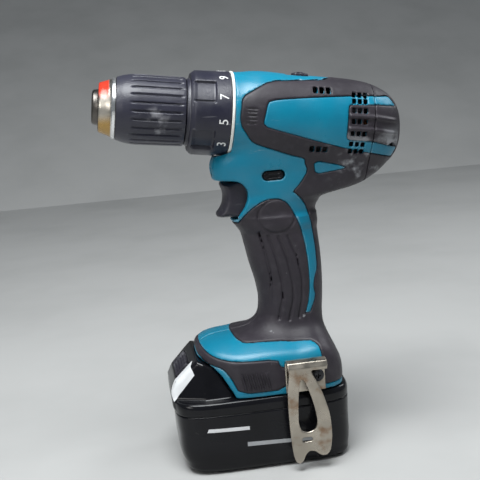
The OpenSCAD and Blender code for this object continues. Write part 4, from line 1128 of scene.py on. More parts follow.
    def holes(self, x: Array, y: Array, z: Array) -> Array:
        """Signed distance to every opening in the shell, negative inside them."""
        s, t = head_place(x, z)
        vents = np.full(np.broadcast(s, t).shape, FAR)
        for first, pitch, wide, tall, corner, rows in self.vents:
            for low in (first, first + pitch, first + 2 * pitch):
                for row in rows:
                    one = box_distance(s, t, (low, row), (low + wide, row + tall), corner)
                    vents = np.minimum(vents, one)
        vents = np.maximum(vents, 9.0 - np.abs(y))
        lever = np.hypot(np.maximum(np.abs(x - LEVER_AT[0]) - 3.8, 0), z - LEVER_AT[1]) - 3.15
        window = np.maximum(box_distance(s, y, (31.9, -6.3), (46.2, 6.3), 0.8), 12.0 - t)
        lamp = np.maximum(box_distance(y, z, (-4.0, 179.3), (4.0, 184.3), 0.8), x + 6.0)
        bay = np.maximum(np.abs(y) - 29.6, np.maximum(z - 58.6, x - 2.0))
        trigger = np.maximum(np.maximum(np.abs(y) - 10.9, x - 6.0), np.maximum(151.6 - z, z - 175.6))
        hole = np.where(y > 0, np.hypot(x - HOOK_SCREW[0], z - HOOK_SCREW[1]) - 2.05, FAR)
        for px, pz in SCREW_POINTS:
            start = 22.0 if px > 40.0 else 10.0
            hole = np.minimum(hole, np.where(y > start, np.hypot(x - px, z - pz) - SCREW_BORE, FAR))
        for ps, pt in HEAD_SCREWS:
            hole = np.minimum(hole, np.where(y > 8.0, np.hypot(s - ps, t - pt) - SCREW_BORE, FAR))
        return np.minimum.reduce(np.broadcast_arrays(vents, lever, window, lamp, bay, trigger, hole))

    def parting(self, y: Array) -> Array:
        """Depth of the groove where the two halves meet."""
        return 0.35 * (1 - step_up(np.abs(y), 0.15, 0.8))

    def shell(self, x: Array, y: Array, z: Array, d: Array) -> Array:
        """Hollow the form, open its bottom and cut its openings."""
        shell = np.maximum(d, -(d + self.wall))
        shell = soft_max(shell, FOOT_Z - z, 0.8)
        return soft_max(shell, -self.holes(x, y, z), 0.5)

    def teal(self, x: Array, y: Array, z: Array, side: int) -> Array:
        """Signed distance to one housing half, recessed under the rubber."""
        d = self.skin(x, y, z)
        m = self.mask(x, y, z)
        shell = self.shell(x, y, z, d + self.parting(y))
        shell = soft_max(shell, np.minimum(-m, d + self.rubber_t + 0.1), 0.5)
        s, _ = head_place(x, z)
        shell = np.maximum(shell, s - SEAM_S + SEAM_GAP)
        return np.maximum(shell, HALF_GAP - y * side)

    def rubber(self, x: Array, y: Array, z: Array, side: int) -> Array:
        """Signed distance to one half of the overmould."""
        d = self.skin(x, y, z)
        m = self.mask(x, y, z) + 0.12
        top = d - self.proud - self.texture(x, y, z) + self.parting(y)
        out = soft_max(soft_max(top, m, 1.1), -(d + self.rubber_t), 0.1)
        out = soft_max(out, FOOT_Z - z, 0.6)
        out = soft_max(out, -self.holes(x, y, z), 0.5)
        s, _ = head_place(x, z)
        out = soft_max(out, s - SEAM_S + SEAM_GAP, 0.4)
        return np.maximum(out, HALF_GAP - y * side)


RUBBER_RING = rounded((
    (60.5, 40.0), (60.0, 25.6), (52.0, 23.8), (24.0, 21.8), (17.5, 20.0), (5.4, 12.6), (3.4, 9.6),
    (2.8, -1.0), (4.0, -5.8), (10.5, -14.0), (14.0, -15.8), (34.0, -21.0), (43.0, -22.6), (46.0, -27.0),
    (62.0, -34.0), (112.0, -60.0), (120.0, 40.0)), 1, 0.12)
TEAL_PANEL = rounded((
    (112.0, 17.4), (95.0, 16.6), (67.0, 15.2), (43.0, 13.0), (24.0, 10.9), (18.8, 9.2), (16.6, -3.0),
    (19.0, -5.2), (31.0, -7.8), (45.0, -10.8), (68.0, -15.4), (97.0, -19.4), (112.0, -21.0), (112.0, -14.2),
    (97.0, -13.0), (85.0, -10.6), (69.0, -10.4), (67.2, -9.2), (67.2, 9.2), (68.6, 10.6), (85.0, 11.0),
    (95.0, 10.8), (112.0, 10.6)), 1, 0.12)
PALM = rounded((
    (-22.0, 149.3), (-5.8, 149.3), (-2.9, 153.4), (2.5, 158.6), (9.0, 162.4), (14.6, 163.7), (19.8, 163.3),
    (24.2, 160.6), (28.0, 154.3), (31.9, 143.7), (33.8, 134.9), (35.3, 121.0), (35.3, 107.0), (33.6, 96.0),
    (29.0, 84.0), (27.0, 70.0), (-22.0, 70.0)), 1)
HANDLE_BACK = rounded((
    (29.5, 165.7), (33.4, 161.5), (36.6, 156.0), (39.6, 143.0), (41.0, 130.3), (41.2, 116.3), (38.9, 111.8),
    (37.6, 105.5), (38.9, 99.6), (34.0, 89.0), (30.0, 84.0), (27.0, 70.0), (70.0, 70.0), (70.0, 150.0),
    (115.0, 150.0), (115.0, 178.0), (66.0, 183.0), (38.0, 188.0), (35.6, 184.6), (37.7, 178.7),
    (33.3, 172.0), (27.9, 166.4)), 1)
TEAL_WEDGE = rounded(((41.6, 184.6), (56.0, 180.8), (62.5, 178.2), (52.0, 177.0), (42.4, 176.2)), 1)
SKIRT_PLAN = rounded((
    (-15.2, -20.0), (-15.2, 1.7), (-14.0, 14.9), (-9.6, 22.6), (-2.0, 24.0), (7.2, 24.4), (30.4, 27.0),
    (34.5, 31.0), (36.2, 37.0), (37.5, 50.0), (60.0, 50.0), (60.0, -20.0)), 1)
SIDE_PANEL = rounded((
    (-45.0, 76.4), (-36.0, 75.6), (-31.5, 73.0), (-26.0, 70.9), (-17.0, 69.4), (8.6, 68.6), (10.0, 63.9),
    (13.5, 63.0), (13.5, 49.3), (-16.2, 49.3), (-20.2, 59.0), (-24.6, 65.2), (-34.0, 67.6), (-38.5, 71.5),
    (-45.0, 71.9)), 1)
GRIP_LINES = (
    ((6.0, 143.0), (8.7, 130.9), (11.4, 115.0), (10.9, 103.0), (8.0, 90.0)),
    ((11.3, 141.0), (15.2, 126.7), (18.0, 110.8), (17.6, 100.4), (14.6, 88.0)),
    ((17.2, 140.4), (22.0, 126.0), (24.5, 110.1), (24.3, 99.6), (20.8, 86.9)),
    ((23.2, 140.4), (28.0, 126.9), (30.6, 112.7), (29.9, 100.6), (27.0, 87.9)))
SCREW_POINTS = ((-9.0, 185.2), (33.0, 183.0), (20.5, 125.0), (26.5, 92.0), (-27.0, 71.0), (47.2, 60.0))
HEAD_SCREWS = ((9.0, 22.7), (64.0, 22.7))


@dataclass
class Housing:
    """Clamshell halves, their overmould, the rear cover and what is fixed to them."""

    finishes: Finishes
    form: HousingForm = field(default_factory=HousingForm)
    step: float = 0.75

    def half(self, side: Side) -> None:
        """Build one half's shell and rubber.

        Args:
            side: Which half.
        """
        name = side.name.lower()
        sign = side.value
        near, far = (-38.5, 1.0) if side is Side.LEFT else (-1.0, 38.5)
        box = ((-41.0, near, 45.5), (94.0, far, 245.5))
        f = self.finishes
        shell = carved(f"shell_{name}", lambda x, y, z: self.form.teal(x, y, z, sign), box,
                       self.step, f.teal, 0.75)
        seat(shell, "housing", "teal_plastic", f"housing_{name}")
        rubber = carved(f"overmould_{name}", lambda x, y, z: self.form.rubber(x, y, z, sign), box,
                        self.step, f.rubber, 0.8)
        seat(rubber, "housing", "grip_rubber", f"grip_{name}")

    def rear_cover(self) -> None:
        """Build the rear cover with its two coloured bands."""
        f = self.form

        def bands(x: Array, y: Array, z: Array) -> Array:
            """Area of the coloured bands, negative inside."""
            s, t = head_place(x, z)
            return np.maximum(outline_distance(s, t, TEAL_PANEL), 10.0 - np.abs(y))

        def body(x: Array, y: Array, z: Array) -> Array:
            """The cover's wall."""
            s, t = head_place(x, z)
            d = f.skin(x, y, z)
            wall = np.maximum(d - f.proud - f.texture(x, y, z) * step_up(np.abs(y), 6, 9), -(d + 2.6))
            wall = soft_max(wall, SEAM_S + SEAM_GAP - s, 0.5)
            wall = np.maximum(wall, -bands(x, y, z))
            for side in (-1, 1):
                hole = np.maximum(np.hypot(y - side * 15.0, t + 13.5) - SCREW_BORE, SEAM_S + 7.0 - s)
                wall = np.maximum(wall, -hole)
            return wall

        def inlay(x: Array, y: Array, z: Array) -> Array:
            """The bands' own thin skins."""
            s, _ = head_place(x, z)
            d = f.skin(x, y, z)
            skin = soft_max(soft_max(d, bands(x, y, z) + 0.1, 0.6), -(d + 2.4), 0.1)
            return np.maximum(skin, SEAM_S + SEAM_GAP - s)

        box = ((60.0, -27.0, 158.0), (104.5, 27.0, 231.0))
        cover = carved("rear_cap", body, box, 0.9, self.finishes.rubber)
        seat(cover, "housing", "grip_rubber", "rear_cover")
        seat(carved("rear_cap_bands", inlay, box, 0.8, self.finishes.teal), "housing", "teal_plastic")

    def fasteners(self) -> None:
        """Stand the housing screws and the ribs of the foot with geometry nodes."""
        places = [(x, 10.0, z) for x, z in SCREW_POINTS]
        places += [tuple(from_head(np.array([s, 10.0, t]))) for s, t in HEAD_SCREWS]
        turns = [(math.radians(-90), 0.3 * i, 0.0) for i in range(len(places))]
        head = screw_head(2.8, 2.2, 18.0)
        screws = repeated("clamshell_screws", head, np.array(places), turns, self.finishes.bright)
        seat(screws, "housing", "screw_steel", "housing_screws")
        for side in Side:
            spots, turns = [], []
            for i in range(6):
                x, z = -13.0 + 2.9 * i, 56.4
                y = self.surface(x, z, side.value) + 0.45 * side.value
                spots.append((x, y, z))
                turns.append((0.0, math.radians(-12 * -side.value), 0.0 if side is Side.LEFT else math.pi))
            rib = domed_bar(11.0, 1.6, 1.2)
            name = f"foot_ribs_{side.name.lower()}"
            ribs = repeated(name, rib, np.array(spots), turns, self.finishes.rubber)
            seat(ribs, "housing", "grip_rubber")

    def surface(self, x: float, z: float, sign: int) -> float:
        """Return Y where the rubber's outer face lies at a side-view place."""
        y = np.linspace(0.0, 45.0, 900) * sign
        d = self.form.skin(np.full(900, x), y, np.full(900, z)) - self.form.proud
        return float(y[np.argmax(d > 0)])

    def build(self) -> None:
        """Build the whole housing."""
        for side in Side:
            self.half(side)
        self.rear_cover()
        self.fasteners()


# ---- battery ----------------------------------------------------------------------------


@dataclass
class Battery:
    """Slide-on pack: tub, cover with rail and slanted nose, release button, label and cells."""

    finishes: Finishes
    split: float = 38.0
    wall: float = 1.8
    body: Loft = Loft((
        (-2.0, -44.5, 48.0, 32.6, 6.5), (0.0, -45.6, 49.0, 33.4, 6.5), (2.0, -49.2, 51.0, 35.4, 6.5),
        (7.0, -52.2, 52.4, 36.5, 6.0), (26.5, -54.6, 53.5, 37.1, 5.6), (40.0, -55.6, 54.0, 37.4, 5.4),
        (43.0, -55.9, 54.0, 37.4, 5.4), (45.2, -56.0, 53.4, 36.4, 5.4), (48.0, -56.2, 52.0, 34.0, 5.4)))
    nose: tuple[Point, ...] = (
        (-55.9, 38.0), (-56.5, 53.2), (-40.4, 68.9), (-38.6, 69.0), (-28.0, 63.7), (-18.2, 46.2),
        (-18.2, 38.0))

    def __post_init__(self) -> None:
        """Round the nose's outline."""
        self.nose_line = rounded(self.nose, 1)

    def form(self, x: Array, y: Array, z: Array) -> Array:
        """Signed distance to the pack's outside."""
        tub = self.body.distance(z, x, y)
        tub = soft_max(soft_max(tub, -z, 1.5), z - 45.9, 1.2)
        nose = outline_distance(x, z, self.nose_line)
        cheek = np.abs(y) - (30.6 - 0.24 * (z - 45.0)) - 0.42 * np.minimum(x + 36.0, 0.0)
        nose = soft_max(nose, cheek, 2.2)
        return soft_min(tub, nose, 2.0)

    def pocket(self, x: Array, y: Array, z: Array) -> Array:
        """Signed distance to the space that the release button stands in."""
        c, s = math.cos(BUTTON_LEAN), math.sin(BUTTON_LEAN)
        dx, dz = x - BUTTON_AT[0], z - BUTTON_AT[1]
        u, v = dx * c + dz * s, dz * c - dx * s
        return np.maximum(box_distance(u, y, (-5.35, -13.35), (5.35, 13.35), 0.6), -11.5 - v)

    def tub(self, x: Array, y: Array, z: Array) -> Array:
        """Signed distance to the lower shell."""
        d = self.form(x, y, z)
        return np.maximum(np.maximum(d, -(d + self.wall)), z - self.split)

    def cover(self, x: Array, y: Array, z: Array) -> Array:
        """Signed distance to the upper shell with its rail and contact slots."""
        d = self.form(x, y, z)
        wall = np.maximum(d, -np.maximum(self.body.distance(z, x, y) + self.wall, z - 44.2))
        rail = np.maximum(box_distance(x, z, (-19.5, 44.5), (43.5, 57.9), 1.0), np.abs(y) - 25.9)
        lips = np.maximum(box_distance(x, z, (-18.0, 52.5), (43.0, 55.3), 0.5), np.abs(y) - 29.0)
        wall = np.minimum(wall, np.minimum(rail, lips))
        room = np.maximum(box_distance(x, z, (-15.0, 30.0), (35.0, 55.5), 1.0), np.abs(y) - 22.0)
        slots = np.maximum(np.abs(np.abs(y) - 15.0) - 1.5, np.maximum(-10.0 - x, 44.0 - z))
        for cut in (room, slots, self.pocket(x, y, z)):
            wall = soft_max(wall, -cut, 0.4)
        return np.maximum(wall, self.split + 0.04 - z)

    def patch(self, name: str, corners: Sequence[Place], material: bpy.types.Material,
              cells: int = 14, lift: float = 0.14) -> bpy.types.Object:
        """Lay a thin printed patch on the pack's surface.

        Args:
            name: The piece's name.
            corners: Four corners in order, near the surface, in millimetres.
            material: The finish.
            cells: Squares along each edge.
            lift: How far the patch stands off the plastic.

        Returns:
            The piece.
        """
        a, b, c, d = (np.array(p, float) for p in corners)
        u = np.linspace(0, 1, cells + 1)
        rows = [[(1 - p) * ((1 - q) * a + q * b) + p * ((1 - q) * d + q * c) for q in u] for p in u]
        grid = np.array(rows).reshape(-1, 3)
        n = cells + 1
        layers = [settle(grid, lambda x, y, z, o=off: self.form(x, y, z) - o, 1.0, 14)
                  for off in (lift, -0.25)]
        verts = np.concatenate(layers)
        m = n * n
        quads = []
        for i in range(cells):
            for j in range(cells):
                p = i * n + j
                quads.append((p, p + 1, p + n + 1, p + n))
                quads.append((m + p, m + p + n, m + p + n + 1, m + p + 1))
        loop = list(range(cells)) + [i * n + cells for i in range(cells)]
        loop += [cells * n + j for j in range(cells, 0, -1)] + [i * n for i in range(cells, 0, -1)]
        quads += [(q, p, m + p, m + q) for p, q in zip(loop, loop[1:] + loop[:1])]
        obj = mesh_piece(name, verts, quads, material, 40)
        outward(obj)
        return obj

    def build(self) -> None:
        """Build the pack."""
        f = self.finishes
        box = ((-59.0, -39.5, -1.5), (56.0, 39.5, 39.5))
        tub = carved("pack_tub", self.tub, box, 0.95, f.gloss, 0.7)
        seat(tub, "battery", "battery_plastic", "battery_case")
        box = ((-59.5, -39.5, 36.5), (56.0, 39.5, 70.5))
        cover = carved("pack_cover", self.cover, box, 0.8, f.gloss, 0.7)
        seat(cover, "battery", "battery_plastic", "battery_cover")
        prints = (
            ("nose_label", f.label,
             ((-56.0, -23.5, 45.5), (-42.4, -26.0, 61.6), (-41.8, -15.4, 67.6), (-56.8, -13.8, 53.6))),
            ("side_stripe_low", f.grey_print,
             ((-14.0, -37.4, 16.6), (30.0, -37.4, 15.0), (30.0, -37.4, 17.2), (-14.0, -37.4, 19.2))),
            ("side_stripe_high", f.label,
             ((-38.0, -37.0, 28.0), (-12.0, -37.4, 27.1), (-12.0, -37.4, 29.3), (-36.9, -37.0, 30.2))))
        for name, finish, corners in prints:
            seat(self.patch(name, corners, finish), "battery", "battery_plastic")
        self.ribs()
        dress(f.wrap, "battery_cells")
        dress(f.control, "battery_button")
        dress(f.brass, "battery_terminals")
        dress(f.steel, "button_spring")

    def ribs(self) -> None:
        """Stand grip ribs on the release button with geometry nodes."""
        c, s = math.cos(BUTTON_LEAN), math.sin(BUTTON_LEAN)
        x0, z0 = BUTTON_AT[0] - 1.05 * s, BUTTON_AT[1] + 1.05 * c
        places = np.array([(x0 + u * c, 0.0, z0 + u * s) for u in (-3.3, -1.1, 1.1, 3.3)])
        spin = [flat_turn(Vector((-s, 0.0, c)))] * len(places)
        rib = domed_bar(20.0, 1.1, 0.45)
        ribs = repeated("button_ribs", rib, places, spin, self.finishes.control)
        seat(ribs, "release_button", "button_plastic")


def flat_turn(up: Vector) -> tuple[float, float, float]:
    """Return the turn that lays a bar across the drill with its crown along a direction.

    Args:
        up: Where the crown points.

    Returns:
        Euler angles.
    """
    across = Vector((0.0, 1.0, 0.0))
    return tuple(Matrix(((-up).cross(across), -up, across)).transposed().to_euler())


def outward(obj: bpy.types.Object) -> None:
    """Turn every face of a closed piece outwards."""
    bm = bmesh.new()
    bm.from_mesh(obj.data)
    bmesh.ops.recalc_face_normals(bm, faces=bm.faces[:])
    bm.to_mesh(obj.data)
    bm.free()


# ---- chuck and clutch ---------------------------------------------------------------------


@dataclass
class Chuck:
    """Keyless chuck: painted nose, fluted sleeve, jaws and the ring that drives them."""

    finishes: Finishes
    sleeve_r: float = 20.9
    flutes: int = 26
    flute_depth: float = 0.85

    def nose(self) -> None:
        """Turn the steel nose with its mouth, shoulder and bright rear edge."""
        mouth = [(-83.0, 8.6), (-82.7, 9.6), (-81.9, 10.3), (-79.8, 10.6), (-79.2, 11.0), (-79.2, 14.1)]
        cone = edge_line([(-79.2, 14.1), (-78.5, 14.8), (-74.0, 16.2), (-71.6, 17.3), (-70.9, 18.1),
                          (-69.4, 18.1), (-69.36, 16.4)], 1.0)
        rear = [(-60.35, 16.4), (-60.35, 11.6), (-53.65, 13.4), (-53.65, 16.4), (-28.5, 16.4), (-28.5, 6.3),
                (-41.0, 6.3), (-41.5, 7.1), (-78.5, 7.1), (-82.9, 7.4)]
        piece = turned_piece("chuck_nose", mouth + cone[1:] + rear, self.finishes.nose, 96)
        seat(piece, "spindle", "chuck_steel")

    def relief(self, s: Array, r: Array, a: Array) -> Array:
        """Sink the sleeve's flutes, each with rounded ends."""
        turn = (a * self.flutes / (2 * math.pi)) % 1.0 - 0.5
        wide = np.abs(turn) * 2 * math.pi * self.sleeve_r / self.flutes
        ends = ridge(s, -45.0, 14.6, 3.0)
        outer = r > self.sleeve_r - 2.0
        flute = self.flute_depth * (1 - step_up(wide, 0.2, 0.95)) * ends
        return np.where(outer, -flute, 0.0)

    def sleeve(self) -> None:
        """Turn the fluted sleeve."""
        outer = edge_line([(-69.0, 17.6), (-68.7, 18.6), (-65.0, 19.8), (-61.0, 20.6), (-57.0, 20.9),
                           (-50.0, 20.9), (-42.0, 20.8), (-33.0, 20.7), (-29.4, 20.6), (-28.4, 20.4),
                           (-28.0, 19.8)], 1.6)
        inner = [(-28.0, 16.8), (-36.0, 16.8), (-37.0, 18.7), (-54.0, 18.7), (-54.0, 17.5), (-60.0, 17.5),
                 (-60.0, 16.8), (-69.0, 16.8)]
        piece = turned_piece("gripping_sleeve", outer + inner, self.finishes.sleeve, 400, self.relief, 40)
        seat(piece, "sleeve", "sleeve_plastic", "chuck_sleeve")

    def build(self) -> None:
        """Build the chuck."""
        self.nose()
        self.sleeve()
        dress(self.finishes.steel, "chuck_body", "jaw_1", "jaw_2", "jaw_3", "chuck_nut")
        dress(self.finishes.dark_steel, "spindle")
        dress(self.finishes.dark_screw, "chuck_screw")


@dataclass
class Clutch:
    """Torque collar with stepped pads and numerals, its white index ring and the parts inside."""

    finishes: Finishes
    radius: float = 25.6
    pads: int = 5
    numbers: tuple[str, ...] = ("1", "3", "5", "7", "9", "11", "13", "15", "17", "19")
    number_size: float = 7.6
    number_s: float = -6.4
    number_depth: float = 0.35
    number_sunk: float = 0.22
    first_angle: float = 74.0
    number_pitch: float = 33.0

    def relief(self, s: Array, r: Array, a: Array) -> Array:
        """Sink the front half between raised pads, each open to the front."""
        turn = ((a - math.radians(38)) * self.pads / (2 * math.pi)) % 1.0
        wide = turn * 2 * math.pi * self.radius / self.pads
        outer = r > self.radius - 2.6
        low = ridge(wide, 8.0, 7.2, 0.7) * ridge(s, -17.9, 6.6, 0.6)
        lip = ridge(wide, 14.9, 0.9, 0.6) * ridge(s, -17.9, 6.0, 0.6)
        slope = step_up(s, -25.0, -22.4)
        return np.where(outer, (-1.6 * low - 0.8 * lip) * slope, 0.0)

    def collar(self) -> None:
        """Turn the collar."""
        outer = edge_line([(-27.6, 18.6), (-27.6, 19.5), (-26.9, 20.0), (-25.7, 20.2), (-25.6, 22.4),
                           (-25.5, 23.2), (-23.4, 25.0), (-22.6, 25.2), (-12.0, 25.35), (-2.5, 25.6),
                           (-2.1, 25.2)], 1.7)
        inner = [(-2.1, 20.5), (-22.6, 20.5), (-22.6, 15.7), (-25.6, 15.7), (-25.6, 18.6)]
        piece = turned_piece("collar_shell", outer + inner, self.finishes.collar, 320, self.relief, 35)
        seat(piece, "collar", "collar_plastic", "torque_collar")

    def digit(self, text: str, middle: float) -> bpy.types.Mesh:
        """Cut one numeral and bend it round the collar's rear band.

        Args:
            text: The number.
            middle: Its angle, from the left side of the drill downwards.

        Returns:
            A thin closed mesh in metres.
        """
        curve = bpy.data.curves.new("digit", "FONT")
        curve.body = text
        curve.size = self.number_size
        curve.align_x = "CENTER"
        curve.align_y = "CENTER"
        curve.resolution_u = 5
        temp = stand("digit", curve)
        deps = bpy.context.evaluated_depsgraph_get()
        mesh = bpy.data.meshes.new_from_object(temp.evaluated_get(deps))
        bpy.data.objects.remove(temp)
        bm = bmesh.new()
        bm.from_mesh(mesh)
        bmesh.ops.remove_doubles(bm, verts=bm.verts[:], dist=0.001)
        solid = bmesh.ops.extrude_face_region(bm, geom=bm.faces[:])
        for v in [g for g in solid["geom"] if isinstance(g, bmesh.types.BMVert)]:
            v.co.z += self.number_depth
        for v in bm.verts:
            angle = middle - v.co.x / self.radius
            radius = self.radius - self.number_sunk + v.co.z * 0.9
            s = self.number_s - v.co.y
            place = from_head(np.array([s, -radius * math.cos(angle), -radius * math.sin(angle)]))
            v.co = Vector(place.tolist()) * MM
        bmesh.ops.recalc_face_normals(bm, faces=bm.faces[:])
        bm.to_mesh(mesh)
        bm.free()
        return mesh

    def digits(self) -> None:
        """Set every numeral round the collar as one piece."""
        whole = bmesh.new()
        for i, text in enumerate(self.numbers):
            part = self.digit(text, math.radians(self.first_angle - self.number_pitch * i))
            whole.from_mesh(part)
            bpy.data.meshes.remove(part)
        mesh = bpy.data.meshes.new("collar_numerals")
        whole.to_mesh(mesh)
        whole.free()
        mesh.materials.append(self.finishes.print)
        seat(stand("collar_numerals", mesh), "collar", "white_plastic")

    def build(self) -> None:
        """Build the clutch."""
        self.collar()
        self.digits()
        profile = [(-1.8, 20.1), (-1.8, 25.6), (-1.5, 25.95), (-0.5, 25.95), (-0.2, 25.6), (-0.2, 20.1)]
        ring = turned_piece("index_band", profile, self.finishes.white, 160)
        seat(ring, "housing", "white_plastic", "index_ring")
        f = self.finishes
        dress(f.control, "clutch_nut")
        dress(f.bright, "clutch_spring")
        dress(f.gear, "clutch_balls")
        dress(f.cast, "gear_case")


# ---- controls -------------------------------------------------------------------------------


@dataclass
class Controls:
    """Trigger, direction lever, speed selector and lamp."""

    finishes: Finishes
    trigger_half: float = 10.5
    lever_half: float = 18.8
    finger_line: tuple[Point, ...] = (
        (-12.0, 175.0), (-13.8, 174.6), (-14.3, 173.0), (-13.0, 169.6), (-12.6, 166.0), (-13.4, 161.6),
        (-15.2, 158.2), (-17.6, 155.6), (-17.4, 153.4), (-14.0, 152.5), (4.0, 152.5), (4.0, 175.0))

    def trigger(self) -> None:
        """Carve the trigger with its hollowed finger rest."""
        line = rounded(self.finger_line, 1)

        def shape(x: Array, y: Array, z: Array) -> Array:
            """Signed distance to the trigger and its plunger."""
            side = outline_distance(x, z, line)
            crown = 0.022 * y * y
            front = side + crown * step_up(-x, 2.0, 10.0)
            body = soft_max(front, np.abs(y) - self.trigger_half, 2.2)
            body = np.maximum(body, -np.maximum(np.maximum(side + 2.2, np.abs(y) - 8.0), -2.0 - x))
            plunger = np.maximum(np.hypot(y, z - 164.0) - 2.6, np.maximum(-3.0 - x, x - 13.0))
            return np.minimum(body, plunger)

        box = ((-19.0, -11.5, 151.0), (14.0, 11.5, 176.5))
        piece = carved("finger_trigger", shape, box, 0.5, self.finishes.control)
        seat(piece, "trigger", "control_plastic", "trigger")

    def lever(self) -> None:
        """Carve the direction lever with its two finger grooves."""

        def shape(x: Array, y: Array, z: Array) -> Array:
            """Signed distance to the lever."""
            u, v = x - LEVER_AT[0], z - LEVER_AT[1]
            pill = np.hypot(np.maximum(np.abs(u) - 3.5, 0), v) - 2.75
            depth = 0.55 * (ridge(v, 1.1, 0.4, 0.5) + ridge(v, -1.1, 0.4, 0.5)) * ridge(u, 0.0, 4.0, 1.5)
            return soft_max(pill, np.abs(y) - self.lever_half + depth, 1.0)

        box = ((9.0, -19.6, 174.4), (25.0, 19.6, 181.6))
        piece = carved("direction_lever", shape, box, 0.42, self.finishes.gloss, 0.6)
        seat(piece, "reverse_lever", "control_plastic", "reverse_lever")

    def selector(self) -> None:
        """Carve the speed selector and stand its ridges."""

        def shape(x: Array, y: Array, z: Array) -> Array:
            """Signed distance to the selector."""
            s, t = head_place(x, z)
            slab = box_distance(s, t, (37.0, 22.0), (45.6, 27.2), 0.8)
            hump = np.hypot(s - 41.2, (t - 21.5) / 1.35) - 4.4
            return soft_max(np.minimum(slab, np.maximum(hump, 22.0 - t)), np.abs(y) - 6.0, 1.0)

        box = ((30.0, -7.0, 226.0), (48.5, 7.0, 241.0))
        piece = carved("speed_slider", shape, box, 0.4, self.finishes.control)
        seat(piece, "speed_selector", "control_plastic", "speed_lever")
        heights = (27.15, 27.5, 27.5, 27.15)
        spots = [tuple(from_head(np.array([38.6 + 1.75 * i, 0.0, t]))) for i, t in enumerate(heights)]
        spin = [flat_turn(Vector((math.sin(TILT), 0, math.cos(TILT))))] * len(spots)
        rib = domed_bar(9.0, 0.7, 0.4)
        ridges = repeated("selector_ridges", rib, np.array(spots), spin, self.finishes.control)
        seat(ridges, "speed_selector", "control_plastic")

    def build(self) -> None:
        """Build the controls."""
        self.trigger()
        self.lever()
        self.selector()
        f = self.finishes
        dress(f.lamp, "led_lamp")
        dress(f.control, "switch_body")
        dress(f.bright, "trigger_spring", "shift_fork")


@dataclass
class BeltHook:
    """Folded nickel strip: base plate, top fold and a tapered outer leg with two prongs."""

    finishes: Finishes
    base_y: float = -37.5
    leg_y: float = -46.6
    half: float = 0.78
    leg: tuple[Point, ...] = (
        (13.0, 69.0), (12.6, 62.0), (11.2, 52.0), (10.9, 40.0), (11.2, 24.0), (12.2, 11.0), (13.4, 6.6),
        (15.4, 5.0), (18.0, 6.4), (19.8, 10.4), (22.2, 12.4), (25.4, 12.0), (28.0, 9.6), (30.6, 8.4),
        (33.4, 9.0), (35.6, 12.0), (37.0, 22.0), (36.4, 34.0), (33.0, 47.0), (29.4, 56.0), (26.4, 62.0),
        (25.0, 69.0))
    slot: tuple[Point, ...] = (
        (19.0, 57.0), (18.0, 50.0), (17.2, 40.0), (16.8, 30.0), (18.4, 25.4), (22.4, 24.2), (26.4, 25.4),
        (28.4, 29.6), (27.4, 38.0), (25.2, 47.0), (22.6, 55.0), (20.6, 58.4))

    def shape(self, x: Array, y: Array, z: Array) -> Array:
        """Signed distance to the bent strip."""
        path = [(self.base_y, 48.0), (self.base_y, 65.2), (self.base_y - 1.2, 67.7), (-42.0, 68.4),
                (self.leg_y + 1.2, 67.7), (self.leg_y, 65.2), (self.leg_y, 60.0), (-45.6, 46.0),
                (-45.4, 30.0), (-45.9, 14.0), (-46.6, 5.0)]
        strip = line_distance(y, z, path) - self.half
        band = np.abs(x - 24.2) - 12.2
        outer = y < -41.5
        leg = outline_distance(x, z, rounded(self.leg, 1))
        leg = np.maximum(leg, -outline_distance(x, z, rounded(self.slot, 1)))
        leg = np.maximum(leg, -(np.hypot(np.maximum(np.abs(x - 21.4) - 1.9, 0), z - 19.8) - 1.3))
        fold = np.minimum(leg, band + 0.2 * np.maximum(66.0 - z, 0))
        cut = np.where(outer, np.where(z > 63.4, fold, leg), band)
        hole = np.hypot(x - HOOK_SCREW[0], z - HOOK_SCREW[1]) - 2.1
        return soft_max(soft_max(strip, cut, 0.7), np.where(outer, -9.0, -hole), 0.3)

    def build(self) -> None:
        """Build the hook and its screw."""
        strip = carved("hook_strip", self.shape, ((8.0, -48.4, 2.0), (40.0, -35.5, 70.5)), 0.5,
                       self.finishes.hook)
        seat(strip, "housing", "hook_steel", "belt_hook")
        head = screw_head(4.0, 2.2, 7.0)
        place = np.array([[HOOK_SCREW[0], self.base_y - self.half, HOOK_SCREW[1]]])
        screw = repeated("hook_fastener", head, place, [(math.radians(90), 0.0, 0.0)],
                         self.finishes.dark_screw)
        seat(screw, "housing", "black_screw", "hook_screw")


@dataclass
class Inside:
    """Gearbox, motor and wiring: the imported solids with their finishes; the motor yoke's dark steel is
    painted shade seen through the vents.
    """

    finishes: Finishes

    def build(self) -> None:
        """Dress every inner solid."""
        f = self.finishes
        gears = [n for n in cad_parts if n.startswith(("planet", "carrier", "ring_gear"))]
        table = {
            f.gear: gears + ["ball_bearings"],
            # painted shade: the yoke is made dark so that the vents in front of it read as shadowed openings
            f.dark_steel: ["motor_yoke"],
            f.magnet: ["motor_magnets", "carbon_brushes"],
            f.copper: ["armature"],
            f.brass: ["motor_pinion"],
            f.control: ["cooling_fan", "brush_holder", "terminal_block"],
            f.wire: ["motor_leads"],
        }
        for material, nodes in table.items():
            dress(material, *nodes)


# ---- studio -----------------------------------------------------------------------------------


